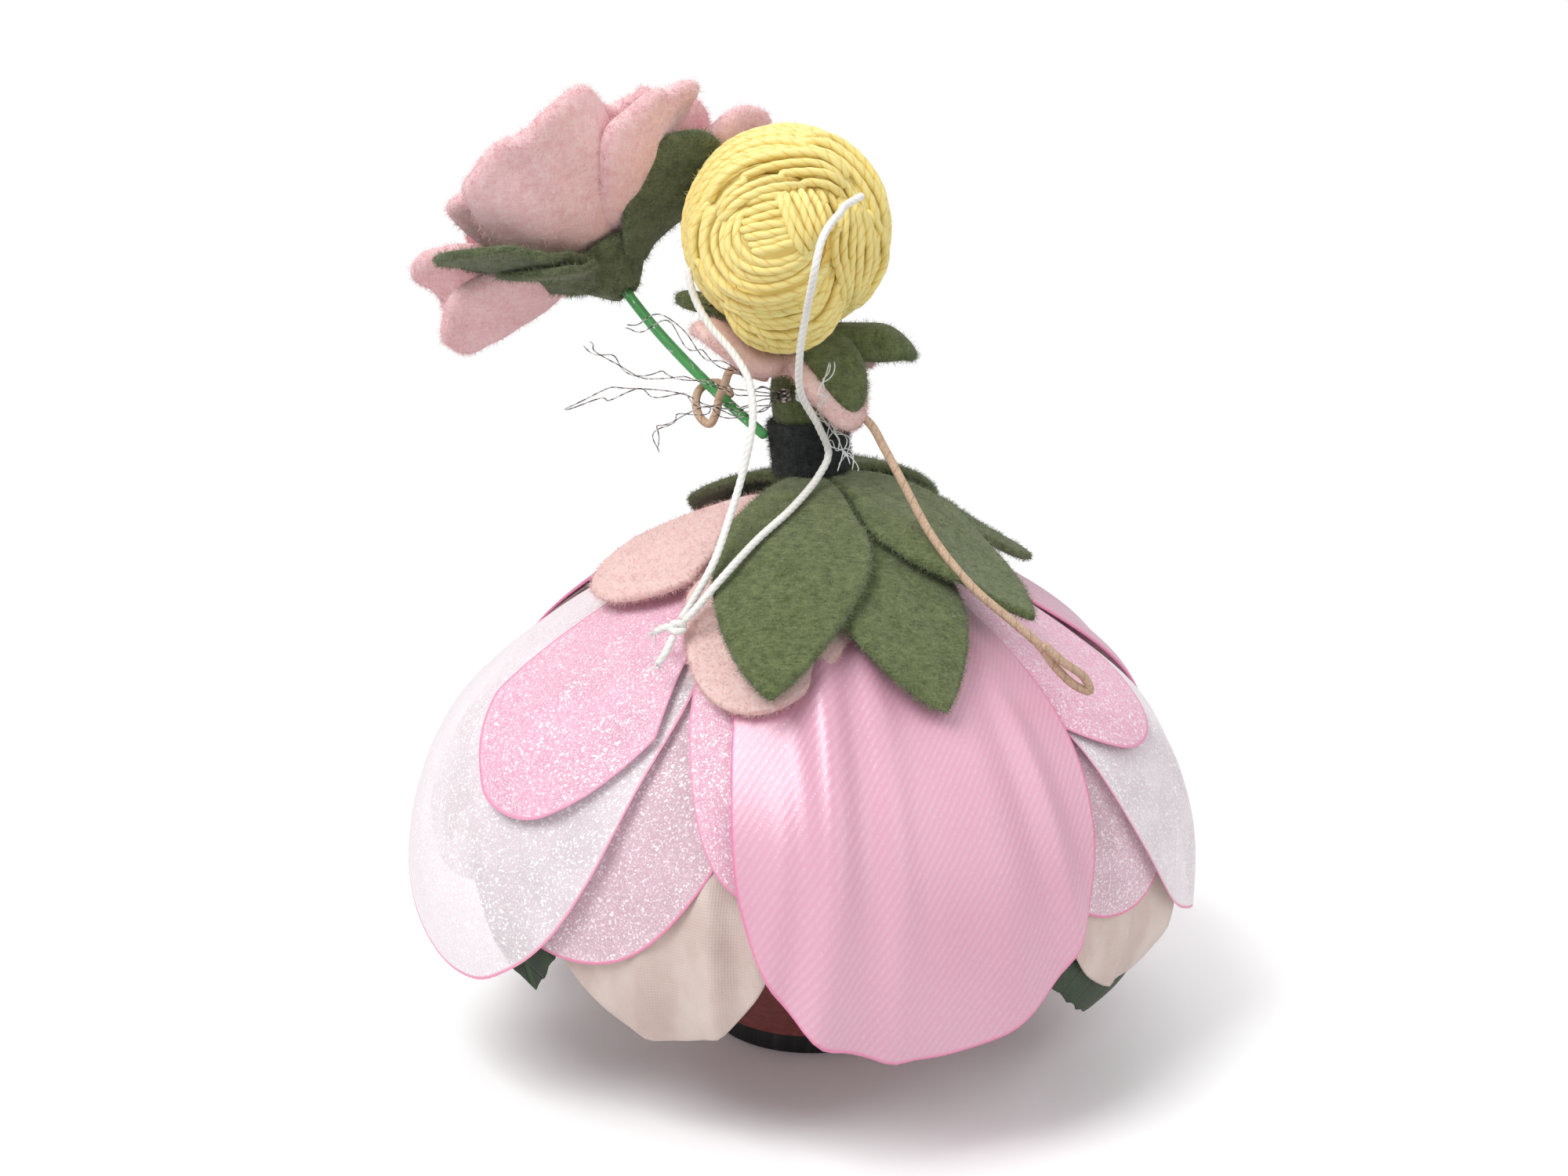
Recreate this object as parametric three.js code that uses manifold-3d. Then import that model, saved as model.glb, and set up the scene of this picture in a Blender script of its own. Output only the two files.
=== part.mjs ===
// A fairy ornament that stands on a small wooden disc: a wooden ball head wound with thread, a felt bodice,
// a skirt of threaded cloth petals and felt leaves, wire arms, a cord to hang it by and a felt rose on a wire.
// Millimetres, +Z up. The origin is the centre of the base's underside. The figure faces +Y, so its back is
// towards -Y, and its right hand is on +X. Azimuths are in degrees from -Y, growing towards +X.
import * as THREE from 'three';
import { mergeVertices } from 'three/addons/utils/BufferGeometryUtils.js';
import Module from 'manifold-3d';

const wasm = await Module();
wasm.setup();

// Clearances
const SEAT_GAP = 0.3; // between a piece and what it sits on or in
const LAYER_GAP = 0.45; // between the layers of the skirt, and of the collar

// Wooden core
const BASE_RADIUS = 12.5;
const BASE_THICKNESS = 2.4;
const BASE_CHAMFER = 0.3;
const SOCKET_DEPTH = 1.5;
const DOWEL_RADIUS = 3.0;
const WASHER_RADIUS = 7.0;
const WASHER_THICKNESS = 3.0;
const WASHER_CHAMFER = 1.0;
const SPINE_RADIUS = 0.9;
const SPINE_HOLE_RADIUS = 1.25;
const SPINE_HOLE_DEPTH = 8.0;
const SPINE_BEND = 3; // how far below and above the dowel's top the wire bends
const HEAD_RADIUS = 10.0;
const HEAD_BORE_DEPTH = 7.0;

// The upper body leans a little to the figure's left, about the top of the dowel
const LEAN_DEGREES = 6.5;
const TORSO_HEIGHT = 12.6;
const TORSO_WAIST_RADIUS = 2.6;
const TORSO_CHEST_RADIUS = 3.0;
const TORSO_NECK_RADIUS = 2.3;
const TORSO_CHEST_SHARE = 0.65; // share of the torso's height where the chest is widest
const BODICE_FELT = 0.8;
const BAND_HEIGHT = 5.6;
const BAND_FELT = 0.6;
const COLLAR_FELT = 1.1;

// Hair: a glued first layer, a thread wound over it, and a wound bun on the back
const CAP_GAP = 0.25;
const CAP_THICKNESS = 0.5;
const FACE_PLANE = 5.2; // the hairline's distance in front of the ball's centre
const NECK_OPENING = 4.4;
const THREAD_RADIUS = 0.5;
const THREAD_PITCH = 1.48;
const THREAD_SIDES = 5;
const THREAD_GAP = 0.36; // between the thread and what it is wound on
const HAIR_FULL_LOOPS = 5;
const HAIR_ROWS = 5; // laid to and fro, beyond the full loops
const HAIR_STEPS = 20; // per loop
const HAIR_FIRST_POLAR = 41; // degrees from the bun's axis to the first loop
const NAPE_HALF_ANGLE = 32; // degrees left bare on each side of the nape by the rows
const NAPE_BULGE = 3.4; // how far the hair stands out at the back of the neck
const NAPE_AZIMUTH = -8;
const NAPE_DROP = 42; // degrees below level
const NAPE_BULGE_EDGE = Math.cos(THREE.MathUtils.degToRad(38));
const BUN_AZIMUTH = -6;
const BUN_RISE = 3;
const BUN_RADIUS = 6.2;
const BUN_DEPTH = 5.0;
const BUN_TURNS = 6.5;
const BUN_STEPS = 16;
const BUN_FIRST_POLAR = 10;
const BUN_LAST_POLAR = 110;

// Skirt: layers threaded on the dowel, all following one bell
const SILK = 0.3;
const FELT = 1.1;
const BELL_TOP = 61.0;
const BELL_STATION = 8.4; // spacing of the bell's stations along its profile
const BELL_PROFILE = [
  [DOWEL_RADIUS + SEAT_GAP, BELL_TOP],
  [WASHER_RADIUS + 1, BELL_TOP - 0.2],
  [18.5, 56.3],
  [28.5, 49.5],
  [37.2, 40],
  [41, 30],
  [41, 20],
  [38, 12],
  [34, 7.0],
];
const LAYER_FAN = 0.6; // how much further apart the layers are at the hem, as a share
const BELL_SIDE_SWELL = 0.08; // how much wider the bell is at the figure's left
const BELL_BACK_TAKE_IN = 0.06; // how much narrower it is at the back
const BELL_RIGHT_DROOP = 0.25; // how much narrower its shoulder is at the figure's right
const FOLDS = 5;
const FOLD_DEPTH = 0.03; // depth of the folds, as a share of the radius
const FOLD_AZIMUTH = 4; // azimuth of one of the crests
const SHEET_SPACE = 1.5; // degrees left free on each side between sheets of one layer

// The layers from the inside out, each with its sheets: the azimuth, the length along the bell, and the half
// width of each
const rounded = { outline: petalWidth, belly: 0.62, root: 0.16, columns: 5 };
const pointed = { outline: leafWidth, belly: 0.5, root: 0.3, columns: 4 };
const SKIRT_LAYERS = [
  {
    name: 'inner_satin_petal', colour: 'satin', thickness: SILK, ...rounded,
    sheets: [
      { azimuth: 30, to: 73, half: 19 },
      { azimuth: 178, to: 73, half: 19 },
    ],
  },
  {
    name: 'silk_leaf', colour: 'darkLeaf', thickness: SILK, ...pointed,
    sheets: [
      { azimuth: 38, to: 70, half: 16, lean: 22 },
      { azimuth: -50, to: 67, half: 9 },
      { azimuth: 165, to: 72, half: 13 },
    ],
  },
  {
    name: 'cream_petal', colour: 'cream', thickness: SILK, ...rounded,
    sheets: [
      { azimuth: -25, to: 68, half: 17 },
      { azimuth: 64, to: 66, half: 17 },
      { azimuth: 150, to: 70, half: 17 },
      { azimuth: -115, to: 68, half: 17 },
    ],
  },
  {
    name: 'organza_petal_lower', colour: 'organza', thickness: SILK, ...rounded,
    sheets: [
      { azimuth: -36, to: 63, half: 17 },
      { azimuth: 56, to: 58, half: 15 },
      { azimuth: 180, to: 66, half: 17 },
    ],
  },
  {
    name: 'organza_petal_upper', colour: 'organza', thickness: SILK, ...rounded, columns: 6,
    sheets: [
      { azimuth: -63, to: 65.5, half: 20 },
      { azimuth: 80, to: 62, half: 17 },
      { azimuth: -142, to: 67, half: 18 },
    ],
  },
  {
    name: 'organza_petal_small', colour: 'organza', thickness: SILK, ...rounded,
    sheets: [
      { azimuth: -48, to: 47, half: 11.8 },
      { azimuth: -8, to: 50, half: 9 },
      { azimuth: 68, to: 45, half: 12 },
    ],
  },
  {
    name: 'satin_petal', colour: 'satin', thickness: SILK, ...rounded, belly: 0.7, columns: 6,
    sheets: [
      { azimuth: 18, to: 66.5, half: 20.5 },
      { azimuth: 130, to: 67, half: 19.5 },
      { azimuth: -150, to: 66, half: 19.5 },
    ],
  },
  {
    name: 'felt_petal', colour: 'pinkFelt', thickness: FELT, ...rounded, belly: 0.6, root: 0.3,
    sheets: [
      { azimuth: -14, to: 35, half: 10.5 },
      { azimuth: -70, to: 23, half: 9 },
      { azimuth: 150, to: 30, half: 10.5 },
    ],
  },
  {
    name: 'felt_leaf_lower', colour: 'greenFelt', thickness: FELT, ...pointed,
    sheets: [
      { azimuth: 28, to: 33.5, half: 8 },
      { azimuth: 112, to: 27, half: 8.5 },
      { azimuth: -152, to: 30, half: 8.5 },
    ],
  },
  {
    name: 'felt_leaf_upper', colour: 'greenFelt', thickness: FELT, ...pointed,
    sheets: [
      { azimuth: -4, to: 32, half: 8.6 },
      { azimuth: 57, to: 25.5, half: 8.2 },
      { azimuth: 158, to: 30, half: 8.6 },
    ],
  },
];

// Arms of paper-covered wire, the cord, and the wings' threads
const ARM_RADIUS = 0.62;
const CORD_RADIUS = 0.6;
const WING_THREAD_RADIUS = 0.16;
const WING_ROOT_RADIUS = 0.8;

// Rose held over the head
const STEM_RADIUS = 0.7;
const ROSE_FELT = 1.2;
const ROSE_LAYER_GAP = 0.6;
const ROSE_HOLE = 1.6;
const BUD_RADIUS = 4.2;
const BUD_HEIGHT = 10.6;
const CALYX_FELT = 1.1;

const colours = {
  paintedWood: [0.6, 0.33, 0.33],
  bareWood: [0.82, 0.66, 0.46],
  wire: [0.55, 0.55, 0.55],
  greenFelt: [0.3, 0.36, 0.2],
  pinkFelt: [0.93, 0.72, 0.72],
  blackFelt: [0.1, 0.11, 0.1],
  yellowThread: [0.95, 0.83, 0.42],
  whiteCord: [0.92, 0.91, 0.86],
  satin: [0.93, 0.68, 0.8],
  organza: [0.92, 0.78, 0.84],
  cream: [0.86, 0.76, 0.72],
  darkLeaf: [0.13, 0.22, 0.1],
  paperWire: [0.76, 0.58, 0.44],
  stemGreen: [0.2, 0.6, 0.28],
  metalThread: [0.8, 0.8, 0.82],
};

// Sizes that follow from those above
const dowelTop = SKIRT_LAYERS.reduce((height, { thickness }) => height + thickness + LAYER_GAP, BELL_TOP);
const pinkCollarHeight = TORSO_HEIGHT + 2 * SEAT_GAP;
const greenCollarHeight = pinkCollarHeight + COLLAR_FELT + LAYER_GAP;
const capInner = HEAD_RADIUS + CAP_GAP;
const capOuter = capInner + CAP_THICKNESS;
const hairRadius = capOuter + THREAD_GAP + THREAD_RADIUS;
const headCentreUp = greenCollarHeight + COLLAR_FELT + SEAT_GAP + hairRadius + THREAD_RADIUS;
const bunOut = hairRadius + THREAD_RADIUS + 1;

const ornament = new THREE.Group();
const upperBody = new THREE.Group();
upperBody.position.set(0, 0, dowelTop);
upperBody.rotation.y = THREE.MathUtils.degToRad(-LEAN_DEGREES);
ornament.add(upperBody);
const head = new THREE.Group();
head.position.set(0, 0, headCentreUp);
upperBody.add(head);
const shoulders = new THREE.Group(); // at the torso's top, so that what it carries keeps its place there
shoulders.position.set(0, 0, TORSO_HEIGHT);
upperBody.add(shoulders);
const cord = new THREE.Group(); // upright, at the height of the torso's top
cord.position.set(0, 0, dowelTop + TORSO_HEIGHT);
ornament.add(cord);
upperBody.updateMatrixWorld(true);

// General helpers

function addPiece(group, name, geometry, colour, roughness = 0.85, metalness = 0) {
  const [red, green, blue] = colours[colour];
  const material = new THREE.MeshStandardMaterial({ roughness, metalness });
  material.color.setRGB(red, green, blue);
  const mesh = new THREE.Mesh(geometry, material);
  mesh.name = name;
  group.add(mesh);
}

function solidOf(geometry) {
  const bare = geometry.clone();
  bare.deleteAttribute('normal');
  bare.deleteAttribute('uv');
  const merged = mergeVertices(bare, 1e-4);
  return new wasm.Manifold(new wasm.Mesh({
    numProp: 3,
    vertProperties: merged.getAttribute('position').array,
    triVerts: new Uint32Array(merged.index.array),
  }));
}

function geometryOf(solid) {
  const mesh = solid.getMesh();
  const geometry = new THREE.BufferGeometry();
  geometry.setAttribute('position', new THREE.BufferAttribute(new Float32Array(mesh.vertProperties), 3));
  geometry.setIndex(new THREE.BufferAttribute(new Uint32Array(mesh.triVerts), 1));
  geometry.computeVertexNormals();
  return geometry;
}

function minus(geometry, ...cutters) {
  return geometryOf(cutters.reduce((solid, cutter) => solid.subtract(solidOf(cutter)), solidOf(geometry)));
}

function joined(...geometries) {
  return geometryOf(geometries.map(solidOf).reduce((all, solid) => all.add(solid)));
}

// A closed surface from its points and faces, turned to face out
function closedSurface(positions, indices) {
  const geometry = new THREE.BufferGeometry();
  geometry.setAttribute('position', new THREE.Float32BufferAttribute(positions, 3));
  geometry.setIndex(indices);
  if (solidOf(geometry).volume() > 0) return geometry;
  const reversed = indices.slice();
  for (let k = 0; k < reversed.length; k += 3) {
    [reversed[k + 1], reversed[k + 2]] = [reversed[k + 2], reversed[k + 1]];
  }
  geometry.setIndex(reversed);
  return geometry;
}

// A solid of revolution about Z from [radius, height] points
function turned(profile, segments = 24) {
  const points = profile.map(([radius, height]) => new THREE.Vector2(radius, height));
  const geometry = new THREE.LatheGeometry(points, segments);
  geometry.rotateX(Math.PI / 2);
  return geometry;
}

// A ring of revolution between an inner and an outer profile, both listed from the bottom up
function turnedRing(inner, outer, segments = 24) {
  return turned([...outer, ...[...inner].reverse(), outer[0]], segments);
}

function rod(radius, length, segments = 16) {
  const geometry = new THREE.CylinderGeometry(radius, radius, length, segments);
  geometry.rotateX(Math.PI / 2);
  geometry.translate(0, 0, length / 2);
  return geometry;
}

function vector([x, y, z]) {
  return new THREE.Vector3(x, y, z);
}

// The point a distance short of one point on the way to it from another
function shortOf(end, from, distance) {
  const [last, first] = [vector(end), vector(from)];
  return last.clone().lerp(first, distance / last.distanceTo(first)).toArray();
}

// A round tube along a smooth curve through the given points
function tubeAlong(points, radius, sides, steps) {
  const section = new THREE.Shape();
  for (let side = 0; side < sides; side += 1) {
    const angle = (2 * Math.PI * side) / sides;
    const place = [radius * Math.cos(angle), radius * Math.sin(angle)];
    if (side === 0) section.moveTo(...place);
    else section.lineTo(...place);
  }
  const path = new THREE.CatmullRomCurve3(points.map(vector), false, 'centripetal');
  return new THREE.ExtrudeGeometry(section, { steps, extrudePath: path, curveSegments: 1 });
}

function ballAt([x, y, z], radius, segments = 8) {
  const geometry = new THREE.SphereGeometry(radius, segments, segments - 2);
  geometry.translate(x, y, z);
  return geometry;
}

// One unbroken tube through many points, with the section carried along without twist
function threadAlong(points, radius, sides) {
  const positions = [];
  const indices = [];
  const last = points.length - 1;
  let across = new THREE.Vector3(0.31, 0.17, 0.94);
  points.forEach((point, row) => {
    const before = points[Math.max(row - 1, 0)];
    const after = points[Math.min(row + 1, last)];
    const along = after.clone().sub(before).normalize();
    across = across.clone().addScaledVector(along, -across.dot(along)).normalize();
    const second = along.clone().cross(across);
    for (let side = 0; side < sides; side += 1) {
      const angle = (2 * Math.PI * side) / sides;
      const place = point.clone()
        .addScaledVector(across, radius * Math.cos(angle))
        .addScaledVector(second, radius * Math.sin(angle));
      positions.push(place.x, place.y, place.z);
    }
  });
  for (let row = 0; row < last; row += 1) {
    for (let side = 0; side < sides; side += 1) {
      const next = (side + 1) % sides;
      const [a, b] = [row * sides + side, row * sides + next];
      indices.push(a, b, b + sides, a, b + sides, a + sides);
    }
  }
  for (let side = 1; side < sides - 1; side += 1) {
    indices.push(0, side + 1, side);
    indices.push(last * sides, last * sides + side, last * sides + side + 1);
  }
  return closedSurface(positions, indices);
}

// The least gap of a thread to itself, between stretches that are further apart along it than a hairpin bend
function leastGapToItself(points, radius) {
  const hairpin = (Math.PI * THREAD_PITCH) / 2 + SEAT_GAP;
  const along = [0];
  points.slice(1).forEach((point, i) => along.push(along[i] + point.distanceTo(points[i])));
  let least = Infinity;
  points.forEach((point, i) => {
    for (let j = i + 1; j < points.length; j += 1) {
      if (along[j] - along[i] > hairpin) least = Math.min(least, point.distanceTo(points[j]));
    }
  });
  return least - 2 * radius;
}

// A thin sheet: rows of points on its inner face, each with the direction of its thickness. The last row is
// a single point, the tip. The outer face is the same rows, one thickness out.
function sheetFromRows(rows, thickness) {
  const flat = rows.flat();
  const inner = flat.map(({ point }) => point.toArray());
  const outer = flat.map(({ point, out }) => point.clone().addScaledVector(out, thickness).toArray());
  const count = flat.length;
  const faces = [];
  let from = 0;
  rows.slice(0, -1).forEach((row, r) => {
    const to = from + row.length;
    for (let c = 0; c < row.length - 1; c += 1) {
      if (rows[r + 1].length === 1) faces.push([from + c, from + c + 1, to]);
      else faces.push([from + c, from + c + 1, to + c + 1], [from + c, to + c + 1, to + c]);
    }
    from = to;
  });
  const edges = new Map();
  faces.forEach(([a, b, c]) => {
    [[a, b], [b, c], [c, a]].forEach((edge) => edges.set(edge.join('_'), edge));
  });
  const indices = faces.flatMap(([a, b, c]) => [a, b, c, a + count, c + count, b + count]);
  edges.forEach(([a, b]) => {
    if (!edges.has(`${b}_${a}`)) indices.push(b, a, a + count, b, a + count, b + count);
  });
  return closedSurface([...inner, ...outer].flat(), indices);
}

// A sheet whose rows each close on themselves, with a hole in the middle
function closedRing(rows, thickness) {
  const around = rows[0].length;
  const flat = rows.flat();
  const layer = flat.length;
  const inner = flat.map(({ point }) => point.toArray());
  const outer = flat.map(({ point, out }) => point.clone().addScaledVector(out, thickness).toArray());
  const indices = [];
  const rim = (rows.length - 1) * around;
  for (let c = 0; c < around; c += 1) {
    const d = (c + 1) % around;
    for (let r = 0; r < rows.length - 1; r += 1) {
      const [a, b, e, f] = [r * around + c, r * around + d, (r + 1) * around + d, (r + 1) * around + c];
      indices.push(a, b, e, a, e, f);
      indices.push(a + layer, e + layer, b + layer, a + layer, f + layer, e + layer);
    }
    indices.push(d, c, c + layer, d, c + layer, d + layer);
    indices.push(rim + c, rim + d, rim + d + layer, rim + c, rim + d + layer, rim + c + layer);
  }
  return closedSurface([...inner, ...outer].flat(), indices);
}

// The direction of an azimuth, seen from above
function outward(azimuth) {
  const angle = THREE.MathUtils.degToRad(azimuth);
  return new THREE.Vector3(Math.sin(angle), -Math.cos(angle), 0);
}

// The angle between two directions round a circle, from -180 to 180
function turnBetween(from, to) {
  return THREE.MathUtils.euclideanModulo(to - from + 180, 360) - 180;
}

// A value that passes smoothly round a circle through [angle, value] pairs in the order of their angles
function roundTheCircle(pairs, angle) {
  const index = pairs.findIndex(([start], k) => {
    const [end] = pairs[(k + 1) % pairs.length];
    const span = THREE.MathUtils.euclideanModulo(end - start, 360);
    return THREE.MathUtils.euclideanModulo(angle - start, 360) <= span;
  });
  const [[start, first], [end, second]] = [pairs[index], pairs[(index + 1) % pairs.length]];
  const span = THREE.MathUtils.euclideanModulo(end - start, 360);
  const share = THREE.MathUtils.euclideanModulo(angle - start, 360) / span;
  return THREE.MathUtils.lerp(first, second, THREE.MathUtils.smoothstep(share, 0, 1));
}

// Wooden core

function addCore() {
  const disc = turned([
    [0, 0],
    [BASE_RADIUS - BASE_CHAMFER, 0],
    [BASE_RADIUS, BASE_CHAMFER],
    [BASE_RADIUS, BASE_THICKNESS - BASE_CHAMFER],
    [BASE_RADIUS - BASE_CHAMFER, BASE_THICKNESS],
    [0, BASE_THICKNESS],
  ], 36);
  const socketFloor = BASE_THICKNESS - SOCKET_DEPTH;
  const socket = rod(DOWEL_RADIUS + SEAT_GAP, SOCKET_DEPTH + 1, 20);
  socket.translate(0, 0, socketFloor);
  addPiece(ornament, 'base_disc', minus(disc, socket), 'paintedWood', 0.6);

  const dowelFoot = socketFloor + SEAT_GAP;
  const dowel = rod(DOWEL_RADIUS, dowelTop - dowelFoot, 20);
  dowel.translate(0, 0, dowelFoot);
  const hole = rod(SPINE_HOLE_RADIUS, SPINE_HOLE_DEPTH + 1, 10);
  hole.translate(0, 0, dowelTop - SPINE_HOLE_DEPTH);
  addPiece(ornament, 'body_dowel', minus(dowel, hole), 'bareWood', 0.7);

  const bore = DOWEL_RADIUS + SEAT_GAP;
  const washerTop = bellPlace(WASHER_RADIUS - bore).y - LAYER_GAP;
  const washerFoot = washerTop - WASHER_THICKNESS;
  const washer = turnedRing(
    [[bore, washerFoot], [bore, washerTop]],
    [
      [WASHER_RADIUS - WASHER_CHAMFER, washerFoot],
      [WASHER_RADIUS, washerFoot + WASHER_CHAMFER],
      [WASHER_RADIUS, washerTop],
    ],
    20,
  );
  addPiece(ornament, 'skirt_washer', washer, 'bareWood', 0.7);

  const spineTop = headCentreUp - HEAD_RADIUS + HEAD_BORE_DEPTH - SEAT_GAP;
  const leaning = [0, SPINE_BEND, TORSO_HEIGHT, spineTop]
    .map((up) => upperBody.localToWorld(new THREE.Vector3(0, 0, up)).toArray());
  const upright = [SPINE_HOLE_DEPTH - SEAT_GAP, SPINE_BEND].map((down) => [0, 0, dowelTop - down]);
  const wire = tubeAlong([...upright, ...leaning], SPINE_RADIUS, 8, 12);
  addPiece(ornament, 'spine_wire', wire, 'wire', 0.4, 0.9);
}

// Torso

function torsoRadiusAt(share) {
  const rise = THREE.MathUtils.smoothstep(share, 0, TORSO_CHEST_SHARE);
  const fall = THREE.MathUtils.smoothstep(share, TORSO_CHEST_SHARE, 1);
  return TORSO_WAIST_RADIUS + (TORSO_CHEST_RADIUS - TORSO_WAIST_RADIUS) * rise
    + (TORSO_NECK_RADIUS - TORSO_CHEST_RADIUS) * fall;
}

// The torso's profile, a given distance out from the bead's wood
function torsoProfile(distance, toShare = 1, steps = 5) {
  const profile = [];
  for (let step = 0; step <= steps; step += 1) {
    const share = (toShare * step) / steps;
    profile.push([torsoRadiusAt(share) + distance, SEAT_GAP + share * TORSO_HEIGHT]);
  }
  return profile;
}

function addTorso() {
  const bead = torsoProfile(0);
  const shaft = [bead[0], bead[bead.length - 1]].map(([, height]) => [SPINE_HOLE_RADIUS, height]);
  addPiece(upperBody, 'torso_bead', turnedRing(shaft, bead, 16), 'bareWood', 0.7);

  const bodice = turnedRing(torsoProfile(SEAT_GAP), torsoProfile(SEAT_GAP + BODICE_FELT), 16);
  addPiece(upperBody, 'bodice', bodice, 'greenFelt', 0.95);

  const bandShare = BAND_HEIGHT / TORSO_HEIGHT;
  const bandInner = 2 * SEAT_GAP + BODICE_FELT;
  const band = turnedRing(
    torsoProfile(bandInner, bandShare, 3),
    torsoProfile(bandInner + BAND_FELT, bandShare, 3),
    16,
  );
  addPiece(upperBody, 'waist_band', band, 'blackFelt', 0.95);
}

// Head and hair

const napeDirection = outward(NAPE_AZIMUTH)
  .multiplyScalar(Math.cos(THREE.MathUtils.degToRad(NAPE_DROP)))
  .setZ(-Math.sin(THREE.MathUtils.degToRad(NAPE_DROP)));

// How far the hair stands out beyond the ball in a direction
function bulgeAt(direction) {
  return NAPE_BULGE * THREE.MathUtils.smoothstep(direction.dot(napeDirection), NAPE_BULGE_EDGE, 1);
}

function sphere(radius, around = 18, up = 12, bulging = false) {
  const geometry = new THREE.SphereGeometry(radius, around, up);
  geometry.rotateX(Math.PI / 2);
  if (!bulging) return geometry;
  const places = geometry.getAttribute('position');
  const place = new THREE.Vector3();
  for (let k = 0; k < places.count; k += 1) {
    place.fromBufferAttribute(places, k);
    place.setLength(radius + bulgeAt(place.clone().normalize()));
    places.setXYZ(k, place.x, place.y, place.z);
  }
  return geometry;
}

// Turns +Z to the bun's axis, with the local +X kept level
function toBunAxis(geometry) {
  geometry.rotateX(THREE.MathUtils.degToRad(90 - BUN_RISE));
  geometry.rotateZ(THREE.MathUtils.degToRad(BUN_AZIMUTH));
  return geometry;
}

function inBunFrame(x, y, z) {
  return new THREE.Vector3(x, y, z)
    .applyAxisAngle(new THREE.Vector3(1, 0, 0), THREE.MathUtils.degToRad(90 - BUN_RISE))
    .applyAxisAngle(new THREE.Vector3(0, 0, 1), THREE.MathUtils.degToRad(BUN_AZIMUTH));
}

// A point of the hair's thread, by its angle from the bun's axis and its turn round it from the crown
function onHair(polar, turn) {
  const [p, t] = [polar, turn].map(THREE.MathUtils.degToRad);
  const direction = inBunFrame(Math.sin(p) * Math.sin(t), Math.sin(p) * Math.cos(t), Math.cos(p));
  return direction.clone().multiplyScalar(hairRadius + bulgeAt(direction));
}

function addHead() {
  const bore = rod(SPINE_HOLE_RADIUS, HEAD_BORE_DEPTH + 1, 10);
  bore.translate(0, 0, -HEAD_RADIUS - 1);
  addPiece(head, 'head_ball', minus(sphere(HEAD_RADIUS), bore), 'bareWood', 0.6);

  const everything = 4 * HEAD_RADIUS;
  const face = new THREE.BoxGeometry(everything, everything, everything);
  face.translate(0, 0, -everything / 2 - FACE_PLANE);
  toBunAxis(face);
  const neck = rod(NECK_OPENING, HEAD_RADIUS, 12);
  neck.translate(0, 0, -capOuter - NECK_OPENING);
  const cap = minus(sphere(capOuter, 18, 12, true), sphere(capInner), face, neck);
  addPiece(head, 'hair_cap', cap, 'yellowThread', 0.6);
}

// Full loops of thread round the bun, then rows to and fro from one side of the nape over the crown
function hairPoints() {
  const step = THREE.MathUtils.radToDeg(THREAD_PITCH / hairRadius);
  const limit = 180 - NAPE_HALF_ANGLE;
  const slant = (180 + limit) / 360; // the first row goes on climbing as the loops do
  const points = [];
  for (let k = 0; k < HAIR_FULL_LOOPS * HAIR_STEPS; k += 1) {
    points.push(onHair(HAIR_FIRST_POLAR + (step * k) / HAIR_STEPS, 180 - (360 * k) / HAIR_STEPS));
  }
  for (let row = 0; row < HAIR_ROWS; row += 1) {
    const direction = row % 2 ? -1 : 1;
    const start = row ? limit : 180;
    const polar = HAIR_FIRST_POLAR + (HAIR_FULL_LOOPS + slant + row) * step;
    const climb = row ? 0 : slant * step;
    const steps = HAIR_STEPS - 2;
    for (let k = 0; k <= steps; k += 1) {
      const share = k / steps;
      points.push(onHair(polar - climb * (1 - share), direction * (start - (start + limit) * share)));
    }
    if (row === HAIR_ROWS - 1) break;
    const ringRadius = hairRadius * Math.sin(THREE.MathUtils.degToRad(polar));
    const bulge = THREE.MathUtils.radToDeg(THREAD_PITCH / 2 / ringRadius);
    [0.25, 0.5, 0.75].forEach((share) => {
      const beyond = limit + bulge * Math.sin(Math.PI * share);
      const between = polar + (step * (1 - Math.cos(Math.PI * share))) / 2;
      points.push(onHair(between, -direction * beyond));
    });
  }
  return points;
}

// One spiral from near the bun's top down over its sides
function bunPoints() {
  const out = THREAD_GAP + THREAD_RADIUS;
  const count = BUN_TURNS * BUN_STEPS;
  const points = [];
  for (let k = 0; k <= count; k += 1) {
    const polar = THREE.MathUtils.degToRad(THREE.MathUtils.lerp(BUN_FIRST_POLAR, BUN_LAST_POLAR, k / count));
    const turn = (2 * Math.PI * k) / BUN_STEPS;
    const ring = (BUN_RADIUS + out) * Math.sin(polar);
    points.push(inBunFrame(
      ring * Math.cos(turn),
      ring * Math.sin(turn),
      bunOut + (BUN_DEPTH + out) * Math.cos(polar),
    ));
  }
  return points;
}

function addHair() {
  const rows = hairPoints();
  addPiece(head, 'hair_winding', threadAlong(rows, THREAD_RADIUS, THREAD_SIDES), 'yellowThread', 0.55);

  const core = new THREE.SphereGeometry(1, 16, 10);
  core.rotateX(Math.PI / 2);
  core.scale(BUN_RADIUS, BUN_RADIUS, BUN_DEPTH);
  core.translate(0, 0, bunOut);
  toBunAxis(core);
  const cap = sphere(capOuter + SEAT_GAP, 18, 12, true);
  addPiece(head, 'bun_core', minus(core, cap), 'yellowThread', 0.6);

  const turns = bunPoints();
  addPiece(head, 'bun_winding', threadAlong(turns, THREAD_RADIUS, THREAD_SIDES), 'yellowThread', 0.55);
  console.log('least gap of hair_winding to itself', leastGapToItself(rows, THREAD_RADIUS).toFixed(2));
  console.log('least gap of bun_winding to itself', leastGapToItself(turns, THREAD_RADIUS).toFixed(2));
}

// Collar: two felt shapes threaded on the spine between the bodice and the head, a pink one under a green.
// Both lie on the same surface. Its fall is how far it has dropped at COLLAR_FALL_RADIUS, by azimuth.

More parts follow.
